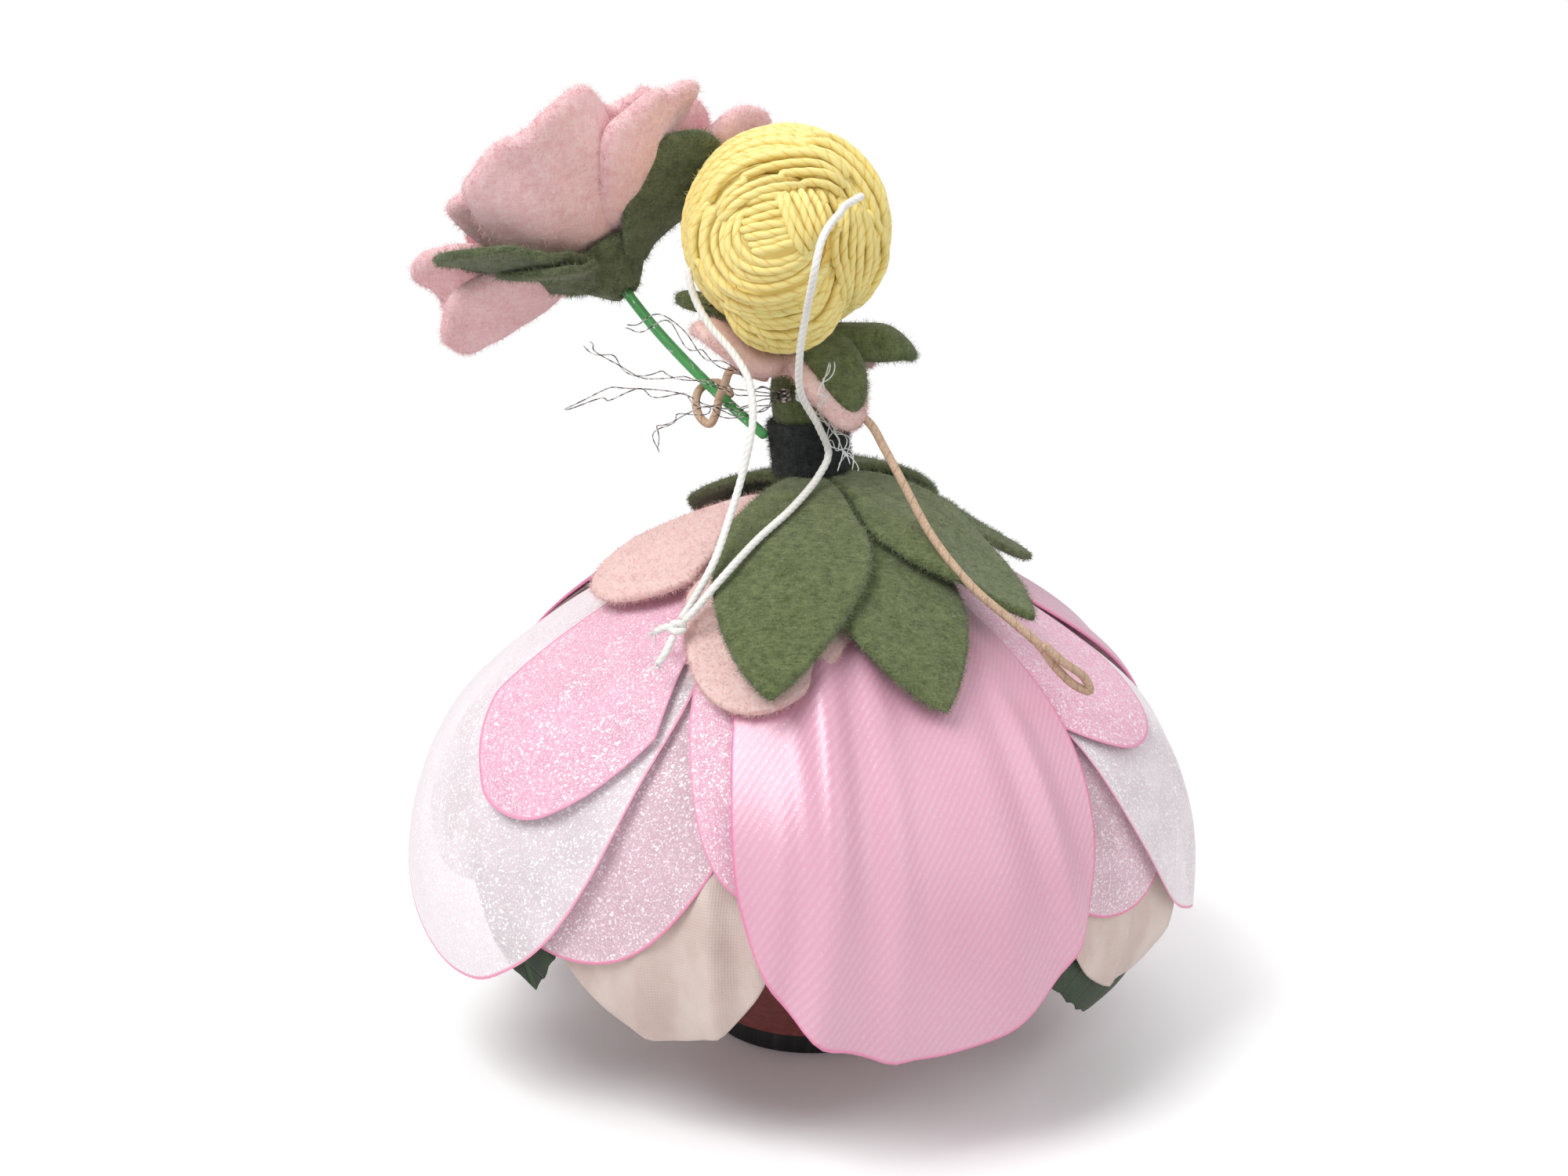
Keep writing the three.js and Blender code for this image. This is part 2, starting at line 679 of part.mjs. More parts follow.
const COLLAR_HOLE = SPINE_RADIUS + SEAT_GAP;
const COLLAR_FLAT_RADIUS = TORSO_NECK_RADIUS + 2 * SEAT_GAP + BODICE_FELT; // it lies flat on the bodice
const COLLAR_FALL_RADIUS = 10;
const COLLAR_FALL = [[-150, 2.5], [-104, -4.4], [-70, -4.8], [-14, 2.6], [34, 6.4], [84, 0.4], [140, 3]];
const PINK_COLLAR = {
  height: pinkCollarHeight,
  valley: 5.2,
  lobes: [
    { azimuth: 32, reach: 10.2, half: 40 },
    { azimuth: -66, reach: 11.6, half: 40 },
    { azimuth: 128, reach: 10.0, half: 40 },
    { azimuth: -150, reach: 9.6, half: 34 },
  ],
};
const GREEN_COLLAR = {
  height: greenCollarHeight,
  valley: 4.2,
  lobes: [
    { azimuth: 38, reach: 9.6, half: 27 },
    { azimuth: 86, reach: 13.6, half: 22 },
    { azimuth: -104, reach: 15.0, half: 20 },
    { azimuth: 150, reach: 11.0, half: 26 },
  ],
};

// How far a collar reaches at an azimuth: the longest lobe there, or the valley between the lobes
function collarReach({ lobes, valley }, azimuth) {
  const reaches = lobes.map(({ azimuth: middle, reach, half }) => {
    const away = Math.abs(turnBetween(middle, azimuth)) / half;
    return away < 1 ? valley + (reach - valley) * Math.cos((Math.PI / 2) * away) ** 0.7 : valley;
  });
  return Math.max(...reaches);
}

function collar(form, around = 32, rings = 4) {
  const rows = [];
  for (let ring = 0; ring <= rings; ring += 1) {
    const row = [];
    for (let k = 0; k < around; k += 1) {
      const azimuth = (360 * k) / around;
      const radius = THREE.MathUtils.lerp(COLLAR_HOLE, collarReach(form, azimuth), ring / rings);
      const share = Math.max(0, radius - COLLAR_FLAT_RADIUS) / (COLLAR_FALL_RADIUS - COLLAR_FLAT_RADIUS);
      const point = outward(azimuth).multiplyScalar(radius);
      point.z = form.height - roundTheCircle(COLLAR_FALL, azimuth) * share ** 1.3;
      row.push({ point, out: new THREE.Vector3(0, 0, 1) });
    }
    rows.push(row);
  }
  return closedRing(rows, COLLAR_FELT);
}

function addCollars() {
  addPiece(upperBody, 'collar_pink', collar(PINK_COLLAR), 'pinkFelt', 0.95);
  addPiece(upperBody, 'collar_green', collar(GREEN_COLLAR), 'greenFelt', 0.95);
}

// Skirt. The bell's profile is cut into straight stretches at its stations, and every layer uses the same
// stations, so that layers a fixed distance apart never touch.

function bellStations() {
  const corners = BELL_PROFILE.map(([radius, height]) => new THREE.Vector2(radius, height));
  const curve = new THREE.SplineCurve(corners);
  const length = curve.getLength();
  const count = Math.round(length / BELL_STATION);
  const stations = [];
  for (let k = 0; k <= count; k += 1) {
    const place = curve.getPointAt(k / count);
    const along = curve.getTangentAt(k / count);
    const out = new THREE.Vector2(-along.y, along.x);
    stations.push({ along: (length * k) / count, place, out });
  }
  return stations;
}
const stations = bellStations();
const bellLength = stations[stations.length - 1].along;

// The two stations on each side of a length along the bell, and the share of the way between them
function stationsAt(along) {
  const position = THREE.MathUtils.clamp(along / stations[1].along, 0, stations.length - 1 - 1e-6);
  const index = Math.floor(position);
  return { before: stations[index], after: stations[index + 1], share: position - index };
}

// Radius and height of the bell's own surface, a length along it from the dowel
function bellPlace(along) {
  const { before, after, share } = stationsAt(along);
  return before.place.clone().lerp(after.place, share);
}

// How much the bell swells at an azimuth, growing from nothing at the waist
function swellAt(azimuth, along) {
  const angle = THREE.MathUtils.degToRad(azimuth);
  const side = BELL_SIDE_SWELL * Math.max(0, -Math.sin(angle)) ** 2;
  const back = BELL_BACK_TAKE_IN * Math.max(0, Math.cos(angle)) ** 2;
  const fold = FOLD_DEPTH * Math.cos(FOLDS * THREE.MathUtils.degToRad(azimuth - FOLD_AZIMUTH));
  const towardsHem = THREE.MathUtils.smoothstep(along / bellLength, 0.15, 0.55);
  const shoulder = THREE.MathUtils.smoothstep(along / bellLength, 0.05, 0.3) * (1 - towardsHem);
  const droop = BELL_RIGHT_DROOP * Math.max(0, Math.sin(angle)) ** 2;
  return 1 + (side - back + fold) * towardsHem - droop * shoulder;
}

// A point at a station, at a layer's distance from the bell. The layers fan out towards the hem.
function onStation({ along, place, out }, azimuth, distance) {
  const fanned = distance * (1 + LAYER_FAN * (along / bellLength) ** 2);
  const point = outward(azimuth).multiplyScalar(place.x * swellAt(azimuth, along) + out.x * fanned);
  return point.setZ(place.y + out.y * fanned);
}

function onBell(along, azimuth, distance) {
  const { before, after, share } = stationsAt(along);
  const point = onStation(before, azimuth, distance).lerp(onStation(after, azimuth, distance), share);
  const out = before.out.clone().lerp(after.out, share);
  return { point, out: outward(azimuth).multiplyScalar(out.x).setZ(out.y) };
}

// Half width along a rounded petal, as a share: a narrow root, widest at its belly, a round end
function petalWidth(share, belly, root) {
  if (share > belly) return Math.sqrt(Math.max(0, 1 - ((share - belly) / (1 - belly)) ** 2));
  return root + (1 - root) * Math.sin((Math.PI / 2) * (share / belly)) ** 1.3;
}

// Half width along a pointed leaf
function leafWidth(share, belly, root) {
  if (share > belly) return Math.cos((Math.PI / 2) * ((share - belly) / (1 - belly))) ** 0.8;
  return root + (1 - root) * Math.sin((Math.PI / 2) * (share / belly));
}

// A petal or leaf of the skirt: it lies on the bell at its layer's distance
function skirtSheet(layer, { azimuth, to, half, lean = 0 }, widestAngle) {
  const { distance, thickness, outline, belly, root, columns } = layer;
  const nearTip = [0.84, 0.95, 0.988].map((share) => share * to);
  const alongs = stations.map((station) => station.along)
    .filter((along) => along < nearTip[0] - 2)
    .concat(nearTip);
  const rows = alongs.map((along) => {
    const width = half * outline(along / to, belly, root);
    const halfAngle = Math.min(THREE.MathUtils.radToDeg(width / bellPlace(along).x), widestAngle);
    const middle = azimuth + lean * (along / to) ** 2;
    const row = [];
    for (let column = 0; column <= columns; column += 1) {
      row.push(onBell(along, middle + halfAngle * ((2 * column) / columns - 1), distance));
    }
    return row;
  });
  rows.push([onBell(to, azimuth + lean, distance)]);
  return sheetFromRows(rows, thickness);
}

function addSkirt() {
  let distance = 0;
  SKIRT_LAYERS.forEach((layer) => {
    const { name, colour, thickness, sheets } = layer;
    sheets.forEach((sheet, index) => {
      const toOthers = sheets.filter((other) => other !== sheet)
        .map((other) => Math.abs(turnBetween(sheet.azimuth, other.azimuth)));
      const widestAngle = Math.min(...toOthers) / 2 - SHEET_SPACE;
      const geometry = skirtSheet({ ...layer, distance }, sheet, widestAngle);
      addPiece(ornament, `${name}_${index + 1}`, geometry, colour, 0.7);
    });
    distance += thickness + LAYER_GAP;
  });
}

// Arms, measured from the torso's top: the right one hangs out over the skirt from a bend under the collar,
// and the left one goes to the rose's stem and wraps round it

const RIGHT_SHOULDER = [3.35, -3.75, -4.2];
const RIGHT_BEND = [7.2, -7.6, -6.4];
const RIGHT_ARM = [[8.7, -9.8, -9.2], [10.3, -12.8, -12.5], [13.1, -16.8, -18.4], [16.9, -20.6, -23.5],
  [20.9, -21.8, -27.6], [23.7, -22.0, -30.7]];
const RIGHT_HAND = [[25.2, -21.4, -34.3], [27.2, -21.0, -36.7], [29.2, -20.6, -37.4], [28.7, -21.2, -34.9],
  [26.1, -22.9, -32.2], [24.2, -23.8, -29.9]];
const LEFT_ARM = [[-3.95, -2.1, -1.2], [-5.9, -3.4, -0.1], [-7.8, -4.4, 0.8], [-8.3, -4.4, 0.6],
  [-9.1, -3.6, -1.1], [-9.9, -2.4, -2.6]];
const LEFT_HAND = [[-10.6, -2.2, -4.7], [-11.5, -1.8, -5.9], [-12.5, -1.2, -5.2], [-12.9, -0.2, -3.7],
  [-12.5, 1.1, -2.5], [-11.6, 1.9, -2.0], [-10.4, 1.7, -1.8], [-9.0, 0.7, -1.8], [-8.0, -1.3, -2.4],
  [-8.5, -2.8, -3.6], [-9.2, -2.8, -4.8]];

function addArms() {
  const stubEnd = shortOf(RIGHT_BEND, RIGHT_SHOULDER, ARM_RADIUS + SEAT_GAP);
  const stub = tubeAlong([RIGHT_SHOULDER, stubEnd], ARM_RADIUS, 8, 2);
  addPiece(shoulders, 'right_shoulder_wire', stub, 'paperWire', 0.8);
  const arm = tubeAlong([RIGHT_BEND, ...RIGHT_ARM, ...RIGHT_HAND], ARM_RADIUS, 8, 24);
  addPiece(shoulders, 'right_arm', joined(arm, ballAt(RIGHT_BEND, ARM_RADIUS)), 'paperWire', 0.8);
  addPiece(shoulders, 'left_arm', tubeAlong([...LEFT_ARM, ...LEFT_HAND], ARM_RADIUS, 8, 26), 'paperWire', 0.8);
}

// Hanging cord: two strands from the hair, tied to each other in a knot with two short tails. It hangs
// upright, and its heights are measured from the torso's top.

const RIGHT_STRAND = [[5.6, -8.8, 20.9], [3.6, -11.0, 20.1], [2.9, -14.6, 19.8], [1.6, -18.0, 18.8],
  [0.8, -19.9, 17.4], [0.2, -20.8, 14.9], [-0.3, -19.3, 12.0], [-0.8, -16.4, 8.9], [-1.5, -13.8, 3.9],
  [-1.4, -10.8, -1.4], [0.7, -8.1, -6.1], [1.8, -6.6, -9.7], [0.7, -8.2, -11.8], [-2.4, -13.9, -14.2],
  [-6.3, -19.2, -16.5], [-10.2, -24.2, -19.6], [-13.2, -25.6, -22.9]];
const LEFT_STRAND = [[-14.3, -6.8, 12.3], [-14.0, -7.4, 10.4], [-13.3, -7.8, 8.4], [-11.8, -9.2, 6.1],
  [-9.1, -11.2, 3.3], [-7.3, -12.8, 0.5], [-6.8, -14.4, -3.2], [-7.1, -15.2, -5.8], [-8.1, -16.2, -10.1],
  [-9.4, -18.4, -14.1], [-11.1, -22.2, -18.3], [-13.7, -23.9, -22.8]];
const KNOT = [-15.0, -25.6, -24.8];
const KNOT_RADIUS = 1.15;
const TAILS = [
  [[-15.4, -26.2, -25.5], [-16.3, -27.6, -27.1], [-17.2, -27.4, -28.6]],
  [[-15.6, -25.4, -24.8], [-16.6, -24.8, -25.1], [-17.6, -24.0, -25.9]],
];

function addCord() {
  addPiece(cord, 'cord_strand_right', tubeAlong(RIGHT_STRAND, CORD_RADIUS, 8, 24), 'whiteCord', 0.8);
  addPiece(cord, 'cord_strand_left', tubeAlong(LEFT_STRAND, CORD_RADIUS, 8, 22), 'whiteCord', 0.8);
  const tails = TAILS.map((tail) => tubeAlong(tail, CORD_RADIUS, 8, 2));
  addPiece(cord, 'cord_knot', joined(ballAt(KNOT, KNOT_RADIUS), ...tails), 'whiteCord', 0.8);
}

// Wings, measured from the torso's top: thin metallic threads from two small bindings on the bodice's back

const WING_ROOT_DROP = 2.8; // below the torso's top
const WING_AZIMUTHS = { left: -26, right: -3 };
const LEFT_WING = [
  [[-6.0, -9.6, 0.2], [-11.4, -10.8, 5.2], [-15.0, -9.8, 7.8], [-19.4, -9.2, 8.0]],
  [[-6.4, -9.8, -1.2], [-13.0, -10.8, 1.8], [-19.4, -9.8, 3.0], [-24.4, -9.4, 7.6]],
  [[-6.4, -9.4, -2.2], [-14.0, -10.4, -0.6], [-20.8, -9.4, 0.6], [-26.6, -8.8, -0.4]],
  [[-5.8, -9.2, -3.6], [-12.2, -10.0, -2.4], [-16.8, -9.4, -3.8], [-18.0, -9.0, -6.4]],
];
const RIGHT_WING = [
  [[2.6, -9.6, -5.0], [5.4, -12.2, -1.6], [7.0, -12.4, 3.2]],
  [[2.4, -6.4, -5.0], [4.0, -7.4, -8.6], [5.0, -8.6, -11.2]],
  [[2.0, -6.0, -5.6], [3.2, -7.0, -9.2], [3.6, -8.0, -10.8]],
];

function wing(threads, azimuth) {
  const radius = torsoRadiusAt(1 - WING_ROOT_DROP / TORSO_HEIGHT);
  const reach = radius + 2 * SEAT_GAP + BODICE_FELT + WING_ROOT_RADIUS;
  const root = outward(azimuth).multiplyScalar(reach).setZ(-WING_ROOT_DROP).toArray();
  const strands = threads.map((thread) => tubeAlong([root, ...thread], WING_THREAD_RADIUS, 4, 8));
  return joined(ballAt(root, WING_ROOT_RADIUS), ...strands);
}

function addWings() {
  addPiece(shoulders, 'wing_threads_left', wing(LEFT_WING, WING_AZIMUTHS.left), 'metalThread', 0.3, 0.8);
  addPiece(shoulders, 'wing_threads_right', wing(RIGHT_WING, WING_AZIMUTHS.right), 'metalThread', 0.3, 0.8);
}

// Rose and stem, measured from the torso's top. The rose's own frame has +Z out of the flower and the stem's
// top at the origin, and its angles run from the figure's right, negative towards its back

const STEM_FOOT = [-4.9, -2.9, -8.0];
const STEM_IN_HAND = [-9.4, -0.8, -3.5];
const STEM_BEND = [-13.6, 1.1, 1.3]; // just above the hand
const STEM_UPPER = [[-17.0, 3.4, 5.4], [-20.2, 6.2, 9.8]];
const ROSE_FACING = [-0.458, 0.39, 0.797];
const ROSE_RIGHT = [0.885, 0.15, 0.433];
const CALYX_HOLE = STEM_RADIUS + SEAT_GAP;
const CALYX_CUP = { reach: 6.2, height: 5.0, foot: -1.4 };
const ROSE_BASE = 5.8; // height of the lowest petals over the stem's top
const ROSE_STEP = ROSE_FELT + ROSE_LAYER_GAP;
const CALYX_LEAVES = [
  { turn: -24, reach: 20.5, half: 32, rise: 3.4 },
  { turn: -136, reach: 21, half: 26, rise: 7.0 },
  { turn: -88, reach: 11.5, half: 24, rise: -4.5 },
];
const ROSE_LAYERS = [
  {
    name: 'rose_petals_outer', height: ROSE_BASE, rings: 4, around: 36,
    petals: [[-90, 20, 13.5], [-40, 22, 9], [8, 26, 3.5], [75, 22, 7.5], [140, 22, 8], [180, 21.5, 2]],
  },
  {
    name: 'rose_petals_middle', height: ROSE_BASE + ROSE_STEP, rings: 4, around: 30,
    petals: [[-110, 17, 15.5], [-45, 18, 13], [20, 20.5, 9], [95, 19, 11], [170, 20.5, 9.5]],
  },
  {
    name: 'rose_petals_inner', height: ROSE_BASE + 2 * ROSE_STEP, rings: 3, around: 24,
    petals: [[-120, 11.5, 17], [-30, 12.5, 16.5], [60, 12.5, 16], [150, 13, 16]],
  },
];
const ROSE_RISE_RADIUS = 20; // a petal's rise is how high it is at this radius, above its layer's height
const PETAL_DIP = 0.2; // how far the rim draws in between two petals, as a share
const PETAL_NOTCH = 0.1; // how far it draws in at a petal's middle

function roseLayer({ height, petals, rings, around }) {
  const sorted = [...petals].sort(([a], [b]) => a - b);
  const reaches = sorted.map(([turn, reach]) => [turn, reach]);
  const rises = sorted.map(([turn, , rise]) => [turn, rise]);
  const rows = [];
  for (let ring = 0; ring <= rings; ring += 1) {
    const row = [];
    for (let k = 0; k < around; k += 1) {
      const turn = (360 * k) / around;
      const toPetal = Math.min(...sorted.map(([middle]) => Math.abs(turnBetween(middle, turn))));
      const halfWidth = 180 / sorted.length;
      const share = Math.min(1, toPetal / halfWidth);
      const drawnIn = 1 - PETAL_DIP * share ** 4 - PETAL_NOTCH * Math.max(0, 1 - 4 * share);
      const radius = THREE.MathUtils.lerp(ROSE_HOLE, roundTheCircle(reaches, turn) * drawnIn, ring / rings);
      const rise = roundTheCircle(rises, turn) * ((radius - ROSE_HOLE) / ROSE_RISE_RADIUS) ** 1.4;
      const angle = THREE.MathUtils.degToRad(turn);
      const point = new THREE.Vector3(radius * Math.cos(angle), radius * Math.sin(angle), height + rise);
      row.push({ point, out: new THREE.Vector3(0, 0, 1) });
    }
    rows.push(row);
  }
  return closedRing(rows, ROSE_FELT);
}

// The calyx wraps the stem's top like a funnel, and spreads into three leaves
function calyx(around = 36, rings = 4) {
  const rows = [];
  for (let ring = 0; ring <= rings; ring += 1) {
    const row = [];
    for (let k = 0; k < around; k += 1) {
      const turn = (360 * k) / around;
      let reach = CALYX_CUP.reach;
      let rise = 0;
      CALYX_LEAVES.forEach((leaf) => {
        const share = Math.max(0, 1 - Math.abs(turnBetween(leaf.turn, turn)) / leaf.half) ** 0.8;
        if (share * leaf.reach > reach) [reach, rise] = [share * leaf.reach, leaf.rise];
      });
      const radius = THREE.MathUtils.lerp(CALYX_HOLE, reach, (ring / rings) ** 1.2);
      const cup = CALYX_CUP.height * THREE.MathUtils.smoothstep(radius, 0, CALYX_CUP.reach);
      const leafRise = rise * Math.max(0, (radius - CALYX_CUP.reach) / (ROSE_RISE_RADIUS - CALYX_CUP.reach));
      const angle = THREE.MathUtils.degToRad(turn);
      const height = CALYX_CUP.foot + cup + leafRise;
      const point = new THREE.Vector3(radius * Math.cos(angle), radius * Math.sin(angle), height);
      row.push({ point, out: new THREE.Vector3(0, 0, 1) });
    }
    rows.push(row);
  }
  return closedRing(rows, CALYX_FELT);
}

function addRose() {
  const lowerEnd = shortOf(STEM_BEND, STEM_IN_HAND, STEM_RADIUS + SEAT_GAP);
  const lower = tubeAlong([STEM_FOOT, STEM_IN_HAND, lowerEnd], STEM_RADIUS, 8, 6);
  addPiece(shoulders, 'stem_lower', lower, 'stemGreen', 0.6);
  const upper = tubeAlong([STEM_BEND, ...STEM_UPPER], STEM_RADIUS, 8, 6);
  addPiece(shoulders, 'stem_upper', joined(upper, ballAt(STEM_BEND, STEM_RADIUS)), 'stemGreen', 0.6);

  const facing = vector(ROSE_FACING).normalize();
  const right = vector(ROSE_RIGHT).addScaledVector(facing, -vector(ROSE_RIGHT).dot(facing)).normalize();
  const rose = new THREE.Group();
  rose.position.copy(vector(STEM_UPPER[STEM_UPPER.length - 1]));
  const axes = new THREE.Matrix4().makeBasis(right, facing.clone().cross(right), facing);
  rose.quaternion.setFromRotationMatrix(axes);
  shoulders.add(rose);
  addPiece(rose, 'rose_calyx', calyx(), 'greenFelt', 0.95);
  ROSE_LAYERS.forEach((layer) => addPiece(rose, layer.name, roseLayer(layer), 'pinkFelt', 0.95));
  const inside = ROSE_HOLE - SEAT_GAP;
  const waist = ROSE_BASE + 3 * ROSE_STEP;
  const bud = turned([
    [0, STEM_RADIUS + SEAT_GAP],
    [inside, STEM_RADIUS + SEAT_GAP],
    [inside, waist],
    [BUD_RADIUS * 0.8, waist + BUD_HEIGHT * 0.2],
    [BUD_RADIUS, waist + BUD_HEIGHT * 0.65],
    [BUD_RADIUS * 0.6, waist + BUD_HEIGHT * 0.95],
    [0, waist + BUD_HEIGHT],
  ], 12);
  addPiece(rose, 'rose_bud', bud, 'pinkFelt', 0.95);
}

addCore();
addTorso();
addHead();
addHair();
addCollars();
addSkirt();
addArms();
addCord();
addWings();
addRose();

export default ornament;
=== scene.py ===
"""Looks of a fairy ornament: wound thread hair, felt and silk petals, wires, a cord and a felt rose.

Lengths are in millimetres until a mesh is made, heights are from the base's underside, the figure faces +Y,
and azimuths are in degrees from -Y, growing towards +X.
"""

import logging
import math
from dataclasses import dataclass, field
from enum import Enum
from functools import cache

import bpy
import numpy as np
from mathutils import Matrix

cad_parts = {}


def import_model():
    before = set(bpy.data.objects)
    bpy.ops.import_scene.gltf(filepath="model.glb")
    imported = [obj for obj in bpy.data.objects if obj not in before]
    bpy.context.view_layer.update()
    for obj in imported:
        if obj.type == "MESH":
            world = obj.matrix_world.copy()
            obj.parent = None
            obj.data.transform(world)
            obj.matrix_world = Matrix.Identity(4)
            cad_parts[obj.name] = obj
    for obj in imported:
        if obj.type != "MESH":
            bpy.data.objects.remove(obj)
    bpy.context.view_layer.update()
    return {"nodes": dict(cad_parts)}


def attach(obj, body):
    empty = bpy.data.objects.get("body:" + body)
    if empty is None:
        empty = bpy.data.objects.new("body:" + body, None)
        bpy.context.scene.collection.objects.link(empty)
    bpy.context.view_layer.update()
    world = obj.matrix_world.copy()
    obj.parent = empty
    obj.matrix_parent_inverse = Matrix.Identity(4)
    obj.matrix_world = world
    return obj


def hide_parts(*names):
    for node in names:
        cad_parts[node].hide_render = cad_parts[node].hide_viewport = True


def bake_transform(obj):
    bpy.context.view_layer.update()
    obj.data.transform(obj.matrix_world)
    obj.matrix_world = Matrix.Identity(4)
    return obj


Array = np.ndarray
Socket = bpy.types.NodeSocket
Colour = tuple[float, float, float, float]
LOG = logging.getLogger("ornament")
MM = 0.001

# Camera, from the photograph's perspective
CAMERA_PLACE = (0.0, -324.0, 154.0)
CAMERA_PITCH = 16.9
CAMERA_YAW = 0.607
CAMERA_LENS = 64.57

# Sizes shared with the solids
SEAT_GAP = 0.3
LAYER_GAP = 0.45
BASE_RADIUS = 12.5
BASE_THICKNESS = 2.4
DOWEL_RADIUS = 3.0
WASHER_RADIUS = 7.0
BELL_TOP = 61.0
DOWEL_TOP = 70.9
LEAN_DEGREES = 6.5
TORSO_HEIGHT = 12.6
TORSO_WAIST_RADIUS = 2.6
TORSO_CHEST_RADIUS = 3.0
TORSO_NECK_RADIUS = 2.3
TORSO_CHEST_SHARE = 0.65
BODICE_FELT = 0.8
BAND_HEIGHT = 5.6
BAND_FELT = 0.6
COLLAR_FELT = 1.1
HEAD_RADIUS = 10.0
HEAD_CENTRE_UP = 28.26
HAIR_RADIUS = 11.61
SPINE_RADIUS = 0.9
SILK = 0.3
FELT = 1.1
ROSE_HOLE = 1.6
UP = np.array([0.0, 0.0, 1.0])

# How sheets, fibres and wires are made
SHEET_MIDDLE = 0.55
RIM_SHARE = 0.7
NAP_RIM = 0.4
NAP_RIM_EXTRA = 5.0
FINE_STEP = 0.25
BEND_HALF = 1.2


def smoothstep(value: Array, low: float, high: float) -> Array:
    """Rises smoothly from 0 at low to 1 at high."""
    share = np.clip((np.asarray(value, float) - low) / (high - low), 0.0, 1.0)
    return share * share * (3.0 - 2.0 * share)


def unit(vectors: Array) -> Array:
    """The vectors at length 1."""
    lengths = np.linalg.norm(vectors, axis=-1, keepdims=True)
    return vectors / np.maximum(lengths, 1e-9)


def outward(azimuth: Array) -> Array:
    """The level direction of an azimuth."""
    angle = np.radians(azimuth)
    return np.stack([np.sin(angle), -np.cos(angle), np.zeros_like(angle)], axis=-1)


def turn_between(start: float, end: Array) -> Array:
    """The angle from start to end, from -180 to 180."""
    return (end - start + 180.0) % 360.0 - 180.0


def round_the_circle(pairs: tuple, angles: Array) -> Array:
    """A value that passes smoothly round a circle through (angle, value) pairs.

    Args:
        pairs: (angle in degrees, value) pairs.
        angles: where to read it, in degrees.

    Returns:
        A value for each angle.
    """
    knots = sorted((angle % 360.0, value) for angle, value in pairs)
    starts = np.array([angle for angle, _ in knots] + [knots[0][0] + 360.0])
    values = np.array([value for _, value in knots] + [knots[0][1]])
    turned = (np.asarray(angles, float) - starts[0]) % 360.0 + starts[0]
    index = np.clip(np.searchsorted(starts, turned, side="right") - 1, 0, len(knots) - 1)
    share = smoothstep((turned - starts[index]) / (starts[index + 1] - starts[index]), 0.0, 1.0)
    return values[index] * (1.0 - share) + values[index + 1] * share


def resampled(points: Array, spacing: float) -> Array:
    """A polyline's points moved to an even spacing.

    Args:
        points: the polyline.
        spacing: about how far apart its new points are.

    Returns:
        The new points, with both ends kept.
    """
    along = np.concatenate([[0.0], np.cumsum(np.linalg.norm(np.diff(points, axis=0), axis=1))])
    count = max(3, int(round(along[-1] / spacing)) + 1)
    places = np.linspace(0.0, along[-1], count)
    return np.stack([np.interp(places, along, column) for column in points.T], axis=1)


def smooth_curve(points: list, spacing: float, fineness: int = 16) -> Array:
    """The centripetal Catmull-Rom curve through points, evenly resampled.

    Args:
        points: the points it passes through.
        spacing: about how far apart its own points are.
        fineness: samples between two given points.

    Returns:
        The curve's points.
    """
    given = np.asarray(points, float)
    knots = np.vstack([2 * given[0] - given[1], given, 2 * given[-1] - given[-2]])
    pieces = []
    for a, b, c, d in zip(knots, knots[1:], knots[2:], knots[3:]):
        times = np.cumsum([0.0] + [max(np.linalg.norm(q - p), 1e-9) ** 0.5 for p, q in ((a, b), (b, c), (c, d))])
        now = np.linspace(times[1], times[2], fineness, endpoint=False)[:, None]

        def between(first, second, start, end):
            return ((end - now) * first + (now - start) * second) / (end - start)

        ab, bc, cd = (between(*pair) for pair in ((a, b, *times[:2]), (b, c, *times[1:3]), (c, d, *times[2:])))
        pieces.append(between(between(ab, bc, times[0], times[2]), between(bc, cd, times[1], times[3]), *times[1:3]))
    return resampled(np.vstack([*pieces, given[-1]]), spacing)


def leaning(points: Array, height: float = TORSO_HEIGHT) -> Array:
    """Points of the leaning upper body, given from a height on it, in the ornament's frame.

    Args:
        points: places with Z along the upper body.
        height: where Z starts, above the torso's foot.

    Returns:
        The places in the ornament's frame.
    """
    x, y, z = np.moveaxis(np.asarray(points, float), -1, 0)
    lean = math.radians(LEAN_DEGREES)
    up = z + height
    across = x * math.cos(lean) - up * math.sin(lean)
    return np.stack([across, y, DOWEL_TOP + x * math.sin(lean) + up * math.cos(lean)], axis=-1)


def spread(grid: Array) -> float:
    """The area of a grid of closed rings, which is what its cloth was cut to."""
    around, out = np.roll(grid, -1, axis=1) - grid, np.diff(grid, axis=0)
    return float(np.linalg.norm(np.cross(around[:-1], out), axis=2).sum())


def flat_size(outline: Array) -> tuple[float, float]:
    """The width and length of the least rectangle round a flat outline.

    Args:
        outline: its (across, along) places.

    Returns:
        The width and the length.
    """
    sizes = []
    for turn in np.radians(np.arange(0.0, 90.0, 3.0)):
        axes = np.array([[math.cos(turn), math.sin(turn)], [-math.sin(turn), math.cos(turn)]])
        sizes.append(tuple(np.ptp(outline @ axes.T, axis=0).tolist()))
    return min(sizes, key=math.prod)


